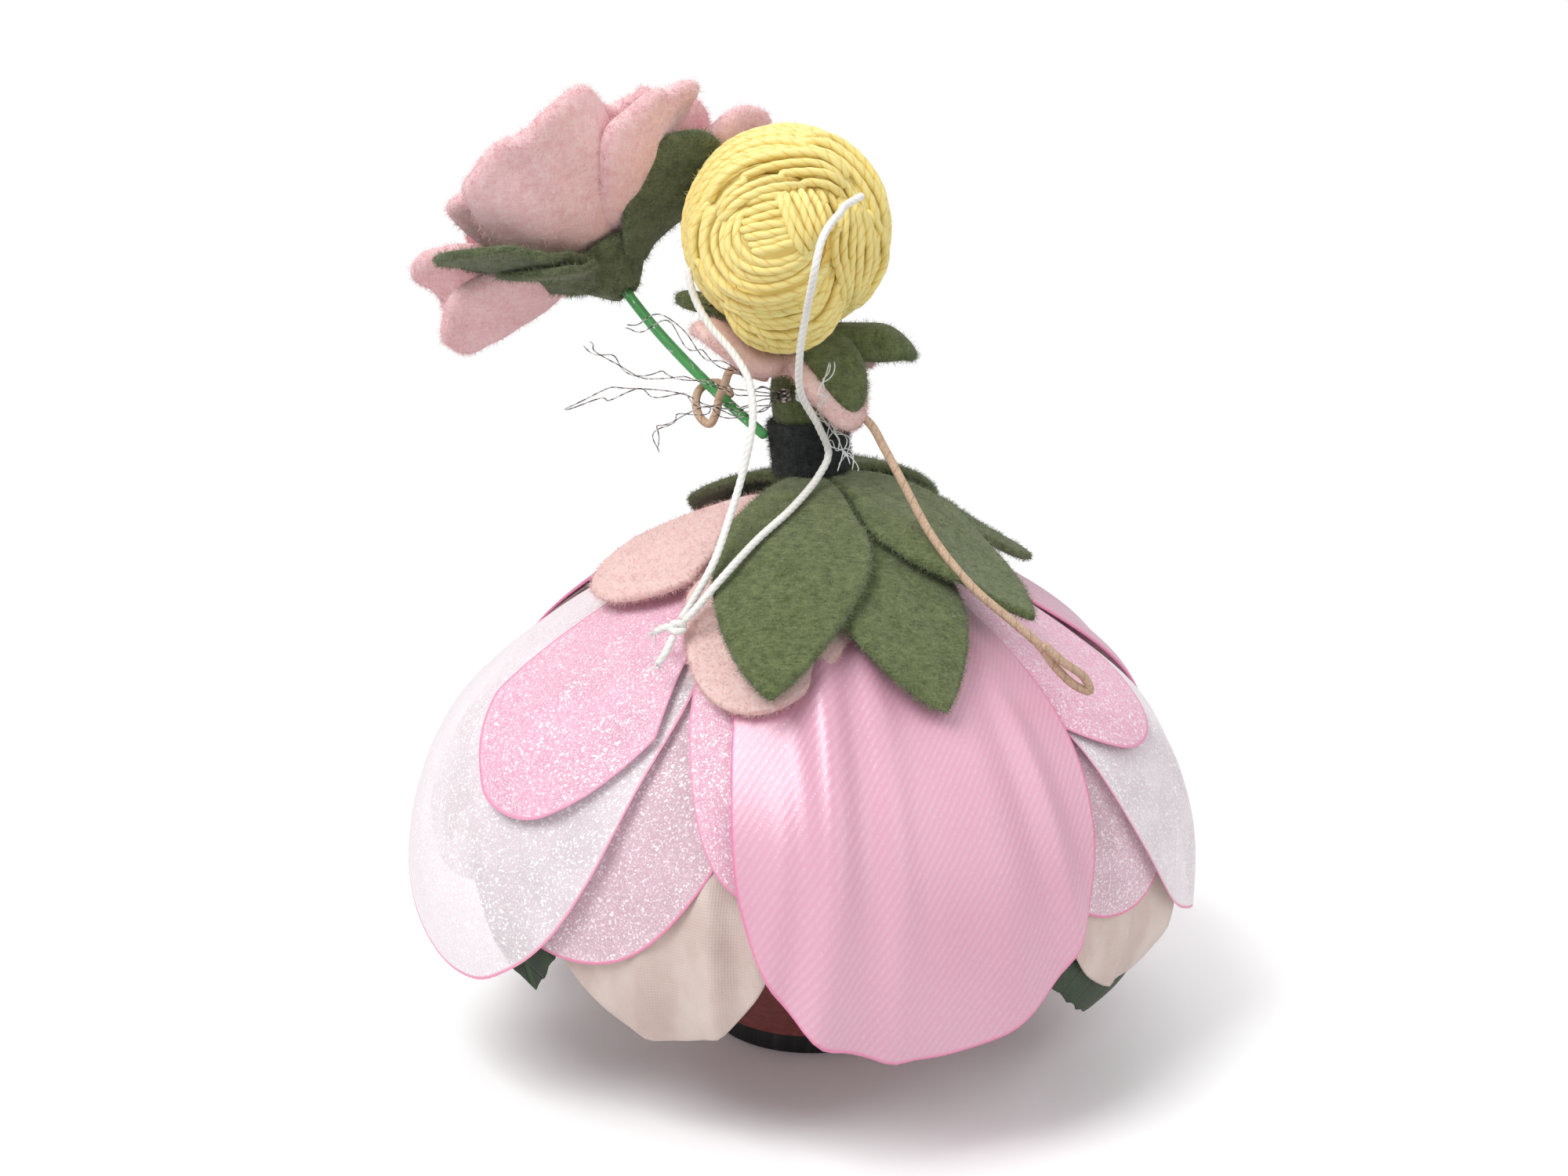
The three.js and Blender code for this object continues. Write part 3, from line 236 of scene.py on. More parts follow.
@dataclass
class Surface:
    """Points and faces in millimetres, with what the materials read at each point.

    The grain is a place in the flat cloth, or in the thread's own turning frame, and the rim is how far a
    point is from the sheet's edge, or how far it is out of a thread's grooves.
    """

    points: Array
    grain: Array
    rim: Array
    quads: Array = field(default_factory=lambda: np.zeros((0, 4), int))
    triangles: Array = field(default_factory=lambda: np.zeros((0, 3), int))

    @staticmethod
    def joined(parts: list["Surface"]) -> "Surface":
        """All the parts as one surface.

        Args:
            parts: the surfaces.

        Returns:
            One surface.
        """
        starts = np.cumsum([0] + [len(part.points) for part in parts[:-1]])
        return Surface(
            points=np.vstack([part.points for part in parts]),
            grain=np.vstack([part.grain for part in parts]),
            rim=np.concatenate([part.rim for part in parts]),
            quads=np.vstack([part.quads + start for part, start in zip(parts, starts)]),
            triangles=np.vstack([part.triangles + start for part, start in zip(parts, starts)]),
        )

    def placed(self, mapping) -> "Surface":
        """The same surface with its points moved by a function."""
        return Surface(mapping(self.points), self.grain, self.rim, self.quads, self.triangles)

    def used(self) -> "Surface":
        """The surface without the points that no face uses.

        Returns:
            The same faces on fewer points.
        """
        kept, back = np.unique(np.concatenate([self.quads.ravel(), self.triangles.ravel()]), return_inverse=True)
        quads = back[: self.quads.size].reshape(-1, 4)
        triangles = back[self.quads.size:].reshape(-1, 3)
        return Surface(self.points[kept], self.grain[kept], self.rim[kept], quads, triangles)


def add_object(name: str, surface: Surface, material: bpy.types.Material) -> bpy.types.Object:
    """Makes a smooth mesh object, in metres, from a surface.

    Args:
        name: the object's and its mesh's name.
        surface: its points and faces.
        material: its one material.

    Returns:
        The object, linked to the scene.
    """
    mesh = bpy.data.meshes.new(name)
    corners = np.concatenate([surface.quads.ravel(), surface.triangles.ravel()]).astype(np.int32)
    sizes = np.concatenate([np.full(len(surface.quads), 4), np.full(len(surface.triangles), 3)])
    starts = (np.cumsum(sizes) - sizes).astype(np.int32)
    mesh.vertices.add(len(surface.points))
    mesh.vertices.foreach_set("co", (surface.points * MM).astype(np.float32).ravel())
    mesh.loops.add(len(corners))
    mesh.loops.foreach_set("vertex_index", corners)
    mesh.polygons.add(len(sizes))
    mesh.polygons.foreach_set("loop_start", starts)
    mesh.polygons.foreach_set("use_smooth", np.ones(len(sizes), bool))
    mesh.update(calc_edges=True)
    mesh.validate()
    grain = mesh.attributes.new("grain", "FLOAT_VECTOR", "POINT")
    grain.data.foreach_set("vector", surface.grain.astype(np.float32).ravel())
    rim = mesh.attributes.new("rim", "FLOAT", "POINT")
    rim.data.foreach_set("value", surface.rim.astype(np.float32))
    mesh.materials.append(material)
    made = bpy.data.objects.new(name, mesh)
    bpy.context.scene.collection.objects.link(made)
    return made


class Body(Enum):
    """The bodies that pieces ride on."""

    FIGURE = "figure"
    ARM = "arm"
    ROSE = "rose"


@dataclass(frozen=True)
class Nap:
    """The loose fibres that stand out of felt or thread.

    Args:
        finish: their finish.
        per_mm2: how many stand on a square millimetre.
        length: how long they are, in millimetres.
    """

    finish: "Finish"
    per_mm2: float = 9.0
    length: float = 0.9


@dataclass(frozen=True)
class Cloth:
    """A sheet as it lies, with the width, the length and the area of the flat cloth that it was cut from."""

    surface: Surface
    width: float
    length: float
    area: float


def add_piece(name: str, surface: Surface, finish: "Finish", nodes: tuple[str, ...],
              body: Body = Body.FIGURE) -> bpy.types.Object:
    """Adds a piece of the ornament.

    Args:
        name: the piece's name.
        surface: its surface.
        finish: what it is dressed with.
        nodes: the CAD nodes that it stands for.
        body: the body that it rides on.

    Returns:
        The piece's object.
    """
    piece = add_object(name, surface, finish.material)
    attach(piece, body.value)
    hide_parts(*nodes)
    LOG.info("%s: %d points for %s", name, len(surface.points), ", ".join(nodes) or "no node")
    return piece


def add_nap(name: str, surface: Surface, nap: Nap, body: Body = Body.FIGURE) -> bpy.types.Object:
    """Adds the loose fibres of a piece, as a piece that goes with it."""
    seed = int(surface.points.sum() * 7) % 9973
    return add_piece(f"{name}_nap", fuzz(surface, nap.per_mm2, nap.length, seed), nap.finish, (), body)


def add_sheet(name: str, cloth: Cloth, finish: "Finish", node: str, nap: Nap | None = None,
              body: Body = Body.FIGURE) -> None:
    """Args:
        name: the piece's name.
        cloth: the sheet as it lies, and its flat sizes.
        finish: what it is dressed with.
        node: the CAD node that it stands for.
        nap: its loose fibres.
        body: the body that it rides on.
    """
    piece = add_piece(name, cloth.surface, finish, (node,), body)
    naps = [add_nap(name, cloth.surface, nap, body)] if nap else []


def tube(path: Array, radius: float, sides: int = 12, plies: int = 0, pitch: float = 1.0,
         groove: float = 0.0) -> Surface:
    """A round tube with rounded ends along a path.

    Its section is turned once per pitch, and with plies it is drawn in between them: the radius is
    r (1 - groove (1 - |cos(plies (angle - turned) / 2)|)).

    Args:
        path: evenly spaced centres.
        radius: the tube's outer radius.
        sides: points round a section.
        plies: how many strands are twisted together.
        pitch: length of one whole twist.
        groove: depth of the grooves, as a share of the radius.

    Returns:
        The tube, whose grain is a place in its twisting frame.
    """
    along = np.concatenate([[0.0], np.cumsum(np.linalg.norm(np.diff(path, axis=0), axis=1))])
    tangents = unit(np.gradient(path, axis=0))
    across = np.empty_like(path)
    carried = np.array([0.31, 0.17, 0.94])
    for row, tangent in enumerate(tangents):
        carried = carried - tangent * (carried @ tangent)
        carried /= np.linalg.norm(carried)
        across[row] = carried
    second = np.cross(tangents, across)
    angle = 2 * np.pi * np.arange(sides) / sides
    turned = angle[None, :] - 2 * np.pi * along[:, None] / pitch
    lobes = np.abs(np.cos(plies * turned / 2)) if plies else np.ones_like(turned)
    to_end = np.minimum(along, along[-1] - along)[:, None]
    rounding = np.sqrt(1.0 - (1.0 - np.clip(to_end / radius, 0.004, 1.0)) ** 2)
    reach = radius * (1.0 - groove * (1.0 - lobes)) * rounding
    ring = reach[..., None] * (np.cos(angle)[None, :, None] * across[:, None]
                               + np.sin(angle)[None, :, None] * second[:, None])
    points = (path[:, None] + ring).reshape(-1, 3)
    grain = np.stack([np.cos(turned), np.sin(turned), np.broadcast_to(along[:, None], turned.shape)], axis=-1)
    quads = ring_quads(len(path), sides)
    caps = []
    for first, flip in ((0, True), ((len(path) - 1) * sides, False)):
        after = first + np.arange(1, sides - 1)
        fan = np.stack([np.full(sides - 2, first), after, after + 1], axis=1)
        caps.append(fan[:, ::-1] if flip else fan)
    return Surface(points, grain.reshape(-1, 3), lobes.ravel(), quads, np.vstack(caps))


def ring_quads(rings: int, around: int) -> Array:
    """Faces between each closed ring of points and the next.

    Args:
        rings: how many rings there are.
        around: points in each.

    Returns:
        (faces, 4) corners.
    """
    ring, place = np.meshgrid(np.arange(rings - 1), np.arange(around), indexing="ij")
    after = (place + 1) % around
    corners = [ring * around + place, ring * around + after, (ring + 1) * around + after, (ring + 1) * around + place]
    return np.stack(corners, axis=-1).reshape(-1, 4)


def ring_normals(grid: Array, outside: Array) -> tuple[Array, bool]:
    """Unit normals of a grid of closed rings, on the side that faces outside, and whether its faces turn over.

    Args:
        grid: (rings, around, 3) places.
        outside: a direction, or one per place.

    Returns:
        The normals, and whether faces that follow the grid have to turn over.
    """
    around = np.roll(grid, -1, axis=1) - np.roll(grid, 1, axis=1)
    normals = unit(np.cross(around, np.gradient(grid, axis=0)))
    over = bool(np.sum(normals * outside) < 0)
    return (-normals if over else normals), over


def filled(line: Array, middle: Array, first: float, rings: int, power: float) -> tuple[Array, Array]:
    """Rings of places inside a flat outline, which lie closer together towards it.

    A ring's share of the way out is 1 - (1 - s) ** power, for even steps of s.

    Args:
        line: the outline's places.
        middle: the place that the rings close in on.
        first: s at the innermost ring.
        rings: how many there are.
        power: how much closer they lie at the outline.

    Returns:
        The places, and their distances to the outline.
    """
    outwards = 1.0 - (1.0 - np.linspace(first, 1.0, rings)) ** power
    flat = middle + (line - middle) * outwards[:, None, None]
    return flat, (1.0 - outwards[:, None]) * np.linalg.norm(line - middle, axis=1)


def sheet(grid: Array, outside: Array, thickness: float, edge: Array, flat: Array, hole: bool = False) -> Surface:
    """A sheet of cloth or felt on a grid of closed rings, the innermost first.

    The two faces lie half a thickness to each side of the grid, and meet in a round rim: within RIM_SHARE of
    the thickness from the edge, they draw together as a quarter circle does. A sheet of no thickness is one layer.

    Args:
        grid: (rings, around, 3) places.
        outside: a direction, or one per place, on the outer side.
        thickness: of the sheet.
        edge: (rings, around) distance to the sheet's edge.
        flat: (rings, around, 2) place in the flat cloth.
        hole: whether the innermost ring is the edge of a hole.

    Returns:
        The sheet.
    """
    rings, around = grid.shape[:2]
    count = rings * around
    normals, over = ring_normals(grid, outside)
    grain = np.concatenate([flat, np.zeros((rings, around, 1))], axis=-1).reshape(-1, 3)
    quads = ring_quads(rings, around)
    middle = np.stack([np.full(around, count), (np.arange(around) + 1) % around, np.arange(around)], axis=1)
    if over:
        quads, middle = quads[:, ::-1], middle[:, ::-1]
    if thickness == 0.0:
        points = np.vstack([grid.reshape(-1, 3), grid[0].mean(axis=0)])
        grain = np.vstack([grain, grain[:around].mean(axis=0)])
        rim = np.append(edge.ravel(), edge[0].mean())
        return Surface(points, grain, rim, quads, middle)
    draw = 1.0 - np.clip(edge / (RIM_SHARE * thickness), 0.0, 1.0)
    half = 0.5 * thickness * np.sqrt(1.0 - draw**2)[..., None]
    sides = [(grid + sign * half * normals).reshape(-1, 3) for sign in (1.0, -1.0)]
    centres = [side[:around].mean(axis=0, keepdims=True) for side in sides]
    other = np.arange(count) + count + 1
    other[count - around:] = np.arange(count - around, count)
    if hole:
        other[:around] = np.arange(around)
    centre_grain = grain[:around].mean(axis=0, keepdims=True)
    return Surface(
        points=np.vstack([sides[0], centres[0], sides[1], centres[1]]),
        grain=np.vstack([grain, centre_grain, grain, centre_grain]),
        rim=np.tile(np.append(edge.ravel(), edge[0].mean()), 2),
        quads=np.vstack([quads, other[quads][:, ::-1]]),
        triangles=np.zeros((0, 3), int) if hole else np.vstack(
            [middle, np.stack([np.full(around, 2 * count + 1), other[middle[:, 2]], other[middle[:, 1]]], axis=1)]),
    ).used()


def fuzz(surface: Surface, per_mm2: float, length: float, seed: int, width: float = 0.045) -> Surface:
    """Short bent fibres that stand out of a felt surface, most at its edge, each a strip of three triangles.

    Args:
        surface: what they stand on.
        per_mm2: how many stand on a square millimetre.
        length: about how long they are.
        seed: of their places.
        width: of a strip at its root.

    Returns:
        All the fibres.
    """
    rng = np.random.default_rng(seed)
    faces = np.vstack([surface.quads[:, :3], surface.quads[:, [0, 2, 3]], surface.triangles])
    a, b, c = (surface.points[faces[:, k]] for k in range(3))
    normals = np.cross(b - a, c - a)
    areas = 0.5 * np.linalg.norm(normals, axis=1)
    count = int(per_mm2 * areas.sum())
    weights = areas * (1.0 + NAP_RIM_EXTRA * (surface.rim[faces[:, 0]] < NAP_RIM))
    chosen = rng.choice(len(faces), count, p=weights / weights.sum())
    shares = rng.dirichlet((1.0, 1.0, 1.0), count)
    roots = np.einsum("nk,nkj->nj", shares, surface.points[faces[chosen]])
    grain = np.einsum("nk,nkj->nj", shares, surface.grain[faces[chosen]])
    rim = np.einsum("nk,nk->n", shares, surface.rim[faces[chosen]])
    out = unit(normals[chosen])
    aside = unit(np.cross(out, rng.normal(size=(count, 3))))
    rise = rng.uniform(0.15, 0.75, (count, 1))
    reach = length * rng.uniform(0.5, 1.3, (count, 1))
    middle = roots + reach * 0.5 * (out * rise + aside * (1.0 - rise))
    bend = unit(aside + 0.8 * rng.normal(size=(count, 3)))
    tip = middle + reach * 0.5 * unit(out * rise + bend * 0.8)
    half = 0.5 * width * unit(np.cross(aside, out) + 0.3 * out)
    points = np.stack([roots - half, roots + half, middle - half * 0.8, middle + half * 0.8, tip], axis=1)
    start = 5 * np.arange(count)[:, None]
    strips = np.array([[0, 1, 3], [0, 3, 2], [2, 3, 4]])
    triangles = (start[:, :, None] + strips[None]).reshape(-1, 3)
    return Surface(points.reshape(-1, 3), np.repeat(grain, 5, axis=0), np.repeat(rim, 5), triangles=triangles)


def turned(profile: list, around: int = 96) -> Surface:
    """A closed solid of revolution about Z from (radius, height) points, listed from bottom to top.

    Args:
        profile: its points.
        around: points round it.

    Returns:
        The solid.
    """
    radii, heights = np.asarray(profile, float).T
    angle = 2 * np.pi * np.arange(around) / around
    grid = np.stack(np.broadcast_arrays(radii[:, None] * np.cos(angle), radii[:, None] * np.sin(angle),
                                        heights[:, None]), axis=-1)
    quads = ring_quads(len(radii), around)
    points = grid.reshape(-1, 3)
    ends = np.vstack([[0.0, 0.0, heights[0]], [0.0, 0.0, heights[-1]]])
    count = len(points)
    place = np.arange(around)
    last = count - around
    bottom = np.stack([np.full(around, count), (place + 1) % around, place], axis=1)
    top = np.stack([np.full(around, count + 1), last + place, last + (place + 1) % around], axis=1)
    points = np.vstack([points, ends])
    return Surface(points, points.copy(), np.ones(len(points)), quads, np.vstack([bottom, top]))


class Nodes:
    """Adds shader nodes to one tree, in small steps."""

    def __init__(self, tree: bpy.types.NodeTree) -> None:
        """Keeps the tree."""
        self.tree = tree

    def node(self, kind: str, settings: dict | None = None, **inputs) -> bpy.types.Node:
        """Adds a node, with settings on the node and links or values on its inputs.

        Args:
            kind: the node's type, without ShaderNode.
            settings: values of its own properties.
            inputs: links or values by socket name, or by _ and its number.

        Returns:
            The node.
        """
        made = self.tree.nodes.new("ShaderNode" + kind)
        for key, value in (settings or {}).items():
            setattr(made, key, value)
        for key, value in inputs.items():
            index = int(key[1:]) if key[1:].isdigit() else key.replace("_", " ")
            socket = made.inputs[index]
            if isinstance(value, Socket):
                self.tree.links.new(value, socket)
            else:
                socket.default_value = value
        return made

    def grain(self, scale: tuple[float, float, float] = (1.0, 1.0, 1.0)) -> Socket:
        """The surface's grain in millimetres, stretched."""
        read = self.node("Attribute", {"attribute_name": "grain"})
        return self.node("VectorMath", {"operation": "MULTIPLY"}, _0=read.outputs["Vector"], _1=scale).outputs[0]

    def rim(self) -> Socket:
        """The distance to the sheet's edge, or out of the thread's grooves."""
        return self.node("Attribute", {"attribute_name": "rim"}).outputs["Fac"]

    def place(self, scale: tuple[float, float, float] = (1.0, 1.0, 1.0)) -> Socket:
        """The place in the ornament in millimetres, stretched.

        Args:
            scale: how much it is stretched along each axis.

        Returns:
            The place.
        """
        read = self.node("TexCoord").outputs["Object"]
        factors = tuple(value / MM for value in scale)
        return self.node("VectorMath", {"operation": "MULTIPLY"}, _0=read, _1=factors).outputs[0]

    def noise(self, vector: Socket, scale: float, detail: float = 3.0, roughness: float = 0.55) -> Socket:
        """Noise of about 1 / scale millimetres."""
        return self.node("TexNoise", Vector=vector, Scale=scale, Detail=detail, Roughness=roughness).outputs["Fac"]

    def cells(self, vector: Socket, scale: float) -> Socket:
        """A random value from 0 to 1 in each cell of 1 / scale millimetres."""
        colour = self.node("TexVoronoi", Vector=vector, Scale=scale).outputs["Color"]
        return self.node("SeparateColor", Color=colour).outputs[0]

    def math(self, operation: str, first, second=0.0) -> Socket:
        """One sum on two values."""
        return self.node("Math", {"operation": operation}, _0=first, _1=second).outputs[0]

    def step(self, value: Socket, low: float, high: float, start: float = 0.0, end: float = 1.0) -> Socket:
        """A value that goes smoothly from start, at low and below, to end, at high and above."""
        limits = {"_1": low, "_2": high, "_3": start, "_4": end}
        return self.node("MapRange", {"interpolation_type": "SMOOTHSTEP"}, _0=value, **limits).outputs[0]

    def blend(self, factor, first, second) -> Socket:
        """Two colours blended."""
        settings = {"data_type": "RGBA"}
        return self.node("Mix", settings, _0=factor, _6=first, _7=second).outputs[2]

    def waves(self, vector: Socket, across: tuple[float, float, float]) -> Socket:
        """Even stripes from 0 to 1, one per unit of the vector along a direction.

        Args:
            vector: what the stripes run over.
            across: the direction, times stripes per unit.

        Returns:
            The stripes.
        """
        along = self.node("VectorMath", {"operation": "DOT_PRODUCT"}, _0=vector, _1=across).outputs["Value"]
        wave = self.math("SINE", self.math("MULTIPLY", along, 2 * math.pi))
        return self.math("ADD", self.math("MULTIPLY", wave, 0.5), 0.5)


class Effect(Nodes):
    """An effect that several materials use: a node group with named inputs and outputs, built once."""

    def __init__(self, name: str, takes: str, gives: str) -> None:
        """Starts the group.

        Args:
            name: the group's name.
            takes: its inputs' names, each a colour if it ends in "colour" and else a value.
            gives: its outputs' names, likewise.
        """
        super().__init__(bpy.data.node_groups.new(name, "ShaderNodeTree"))
        for names, side in ((takes, "INPUT"), (gives, "OUTPUT")):
            for each in names.split(", "):
                kind = "NodeSocketColor" if each.endswith("colour") else "NodeSocketFloat"
                self.tree.interface.new_socket(each, in_out=side, socket_type=kind)
        self.taken = self.tree.nodes.new("NodeGroupInput").outputs
        self.given = self.tree.nodes.new("NodeGroupOutput").inputs

    def give(self, name: str, source: Socket) -> None:
        """Links a value to one of the group's outputs."""
        self.tree.links.new(source, self.given[name])


class Finish(Nodes):
    """A finish of the ornament: a node material, and the record's slot that it dresses."""

    def __init__(self, name: str, slot: str = "", **constants: float) -> None:
        """Starts a material with constant values on its shader's sockets.

        Args:
            name: the material's name.
            slot: the record's slot, where it isn't the same name.
            constants: values by socket name, with underscores for spaces.
        """
        self.name = name
        self.slot = slot or name
        self.material = bpy.data.materials.new(name)
        self.material.use_nodes = True
        super().__init__(self.material.node_tree)
        self.shader = self.tree.nodes["Principled BSDF"]
        for socket, value in constants.items():
            self.shader.inputs[socket.replace("_", " ")].default_value = value

    def set(self, socket: str, source: Socket) -> None:
        """Links a value to one of the shader's sockets."""
        self.tree.links.new(source, self.shader.inputs[socket])

    def effect(self, effect: Effect, **values) -> bpy.types.bpy_prop_collection:
        """Places a shared effect with this material's values, and returns its outputs."""
        return self.node("Group", {"node_tree": effect.tree}, **values).outputs

    def bump(self, height: Socket, depth: float, strength: float = 1.0) -> None:
        """Adds relief of a depth in millimetres on top of any that is there.

        Args:
            height: the relief, from 0 to 1.
            depth: its depth in millimetres.
            strength: how much of it shows.
        """
        made = self.node("Bump", Height=height, Distance=depth * MM, Strength=strength)
        normal = self.shader.inputs["Normal"]
        if normal.links:
            self.tree.links.new(normal.links[0].from_socket, made.inputs["Normal"])
        self.tree.links.new(made.outputs[0], normal)


def rgb(red: float, green: float, blue: float) -> Colour:
    """A colour from its values from 0 to 255, as a screen shows them.

    Args:
        red: from 0 to 255.
        green: likewise.
        blue: likewise.

    Returns:
        The linear colour.
    """
    shares = [value / 255.0 for value in (red, green, blue)]
    linear = [share / 12.92 if share <= 0.04045 else ((share + 0.055) / 1.055) ** 2.4 for share in shares]
    return (*linear, 1.0)


WHITE = (1.0, 1.0, 1.0, 1.0)


@cache
def matted_fibres() -> Effect:
    """Felt's matted fibres in two shades, and how high fibres and lumps stand.

    Returns:
        The effect.
    """
    effect = Effect("matted_fibres", "Dark colour, Light colour", "Felt colour, Fibres, Lumps")
    lumps = effect.noise(effect.place(), 0.8, 3.0)
    fibres = effect.noise(effect.place((1.0, 1.0, 0.2)), 2.8, 6.0, 0.8)
    crossed = effect.noise(effect.place((0.25, 0.8, 1.1)), 3.4, 6.0, 0.8)
    mixed = effect.math("ADD", effect.math("MULTIPLY", fibres, 0.5), effect.math("MULTIPLY", crossed, 0.5))
    shade = effect.math("ADD", effect.math("MULTIPLY", lumps, 0.22), effect.math("MULTIPLY", mixed, 0.78))
    effect.give("Felt colour", effect.blend(effect.step(shade, 0.37, 0.63), effect.taken[0], effect.taken[1]))
    effect.give("Fibres", mixed)
    effect.give("Lumps", lumps)
    return effect


class Felt(Finish):
    """Felt with a soft nap."""

    def __init__(self, name: str, dark: Colour, light: Colour, sheen: float = 0.25, slot: str = "") -> None:
        """Builds the material.

        Args:
            name: the material's name.
            dark: the darker shade.
            light: the lighter shade.
            sheen: how strongly its nap shines at a slant.
            slot: the record's slot, where it isn't the same name.
        """
        super().__init__(name, slot, Roughness=0.95, Specular_IOR_Level=0.15, Sheen_Weight=sheen, Sheen_Roughness=0.5)
        felt = self.effect(matted_fibres(), Dark_colour=dark, Light_colour=light)
        self.set("Base Color", felt["Felt colour"])
        self.bump(felt["Fibres"], 0.22, 0.9)
        self.bump(felt["Lumps"], 0.3, 0.35)


@cache
def twisted_fibres() -> Effect:
    """The fibres of twisted thread, with painted shade in the grooves between its plies.

    Returns:
        The effect.
    """
    effect = Effect("twisted_fibres", "Deep colour, Light colour", "Thread colour, Gloss loss, Fibres")
    fibres = effect.noise(effect.grain((3.0, 3.0, 0.25)), 2.4, 3.0, 0.65)
    patches = effect.noise(effect.place(), 0.16, 1.0)
    # Painted shade: the grooves between the plies take the groove colour and the crests the light one; fibres and
    # patches vary it at random.
    crest = effect.step(effect.rim(), 0.0, 0.55)
    shade = effect.math("MULTIPLY", crest, effect.step(fibres, 0.2, 0.75, 0.8, 1.0))
    shade = effect.math("MULTIPLY", shade, effect.step(patches, 0.3, 0.6, 0.85, 1.0))
    effect.give("Thread colour", effect.blend(shade, effect.taken[0], effect.taken[1]))
    effect.give("Gloss loss", effect.step(fibres, 0.3, 0.7, 0.38, 0.62))
    effect.give("Fibres", fibres)
    return effect


class Thread(Finish):
    """Twisted cotton thread."""

    def __init__(self, name: str, deep: Colour, light: Colour, gloss: float, slot: str = "") -> None:
        """Builds the material.

        Args:
            name: the material's name.
            deep: the colour painted in the grooves as their shade.
            light: the lighter shade.
            gloss: how glossy the cotton is.
            slot: the record's slot, where it isn't the same name.
        """
        super().__init__(name, slot, Roughness=0.5, Specular_IOR_Level=gloss, Sheen_Weight=0.2, Sheen_Roughness=0.4,
                        Subsurface_Weight=0.12, Subsurface_Scale=0.6 * MM)
        thread = self.effect(twisted_fibres(), Deep_colour=deep, Light_colour=light)
        self.set("Base Color", thread["Thread colour"])
        self.set("Roughness", thread["Gloss loss"])
        self.bump(thread["Fibres"], 0.06, 0.8)


class Satin(Finish):
    """Satin: slanting twill lines whitened as painted sheen, a broad sheen and a heat-sealed edge of a stronger
    colour.
    """

    def __init__(self, name: str, body: Colour, pale: Colour, edge: Colour) -> None:
        """Builds the material.

        Args:
            name: the material's name.
            body: the cloth's colour.
            pale: a paler shade.
            edge: the colour of the sealed edge.
        """
        super().__init__(name, Roughness=0.32, Specular_IOR_Level=1.0, Sheen_Weight=0.25, Sheen_Roughness=0.3,
                        Coat_Weight=0.35, Coat_Roughness=0.42)
        twill = self.waves(self.grain(), (1.15, 0.95, 0.0))
        yarns = self.noise(self.grain((2.6, 1.4, 1.0)), 1.4, 3.0, 0.7)
        clouds = self.noise(self.place(), 0.05, 1.0)
        tone = self.blend(self.step(clouds, 0.2, 0.8, 0.25, 0.75), body, pale)
        lines = self.math("MULTIPLY", twill, self.step(yarns, 0.25, 0.75, 0.1, 1.0))
        # Painted sheen: the raised twill lines are whitened in the base colour, by up to 13 per cent.
        twill_sheen = self.blend(self.step(lines, 0.0, 0.9, 0.0, 0.13), tone, WHITE)
        self.set("Base Color", self.blend(self.step(self.rim(), 0.12, 0.5), edge, twill_sheen))
        self.set("Roughness", self.step(lines, 0.0, 1.0, 0.38, 0.22))
        self.bump(lines, 0.04, 0.7)


@cache
def sparkling_gauze() -> Effect:
    """Sheer cloth with real glitter flecks painted near white as their glints, and a sealed hem: its colour, cover,
    roughness and relief.

    Returns:
        The effect.
    """
    effect = Effect("sparkling_gauze", "Body colour, Spark colour, Edge colour, Cover",
                    "Gauze colour, Covered, Gloss loss, Relief")
    flecks = effect.cells(effect.grain(), 4.4)
    small = effect.cells(effect.grain(), 8.0)
    clouds = effect.noise(effect.grain(), 0.18, 3.0)
    body, spark, edge, cover = (effect.taken[index] for index in range(4))
    # Painted glints: the glitter flecks, and the brightest small cells, take the near-white glint colour.
    glints = effect.math("MAXIMUM", effect.step(flecks, 0.84, 0.96), effect.step(small, 0.8, 1.0, 0.0, 0.55))
    speckle = effect.blend(effect.step(small, 0.0, 1.0), body, effect.blend(0.35, body, WHITE))
    hem = effect.step(effect.rim(), 0.15, 0.42)
    effect.give("Gauze colour", effect.blend(hem, edge, effect.blend(glints, speckle, spark)))
    dense = effect.math("ADD", effect.step(clouds, 0.3, 0.7, -0.06, 0.06), cover)
    dense = effect.math("ADD", dense, effect.math("MULTIPLY", glints, 0.35))
    sealed = effect.step(effect.rim(), 0.15, 0.42, 0.25, 0.0)
    effect.give("Covered", effect.math("ADD", dense, sealed))
    effect.give("Gloss loss", effect.step(glints, 0.0, 1.0, 0.55, 0.22))
    effect.give("Relief", flecks)
    return effect


class Organza(Finish):
    """Sparkling organza, denser where it is seen at a slant."""

    def __init__(self, name: str, body: Colour, spark: Colour, edge: Colour, cover: float, slot: str = "") -> None:
        """Builds the material.

        Args:
            name: the material's name.
            body: the cloth's colour.
            spark: the near-white colour painted on the glitter flecks as their glints.
            edge: the colour of the sealed edge.
            cover: how much of what lies behind it hides.
            slot: the record's slot, where it isn't the same name.
        """
        super().__init__(name, slot, Roughness=0.5, Specular_IOR_Level=0.5, Sheen_Weight=0.3, Sheen_Roughness=0.3)
        gauze = self.effect(sparkling_gauze(), Body_colour=body, Spark_colour=spark, Edge_colour=edge, Cover=cover)
        self.set("Base Color", gauze["Gauze colour"])
        slant = self.math("MULTIPLY", self.node("LayerWeight", Blend=0.35).outputs["Facing"], 0.35)
        self.set("Alpha", self.node("Math", {"operation": "ADD", "use_clamp": True}, _0=gauze["Covered"],
                                        _1=slant).outputs[0])
        self.set("Roughness", gauze["Gloss loss"])
        self.bump(gauze["Relief"], 0.07, 0.9)


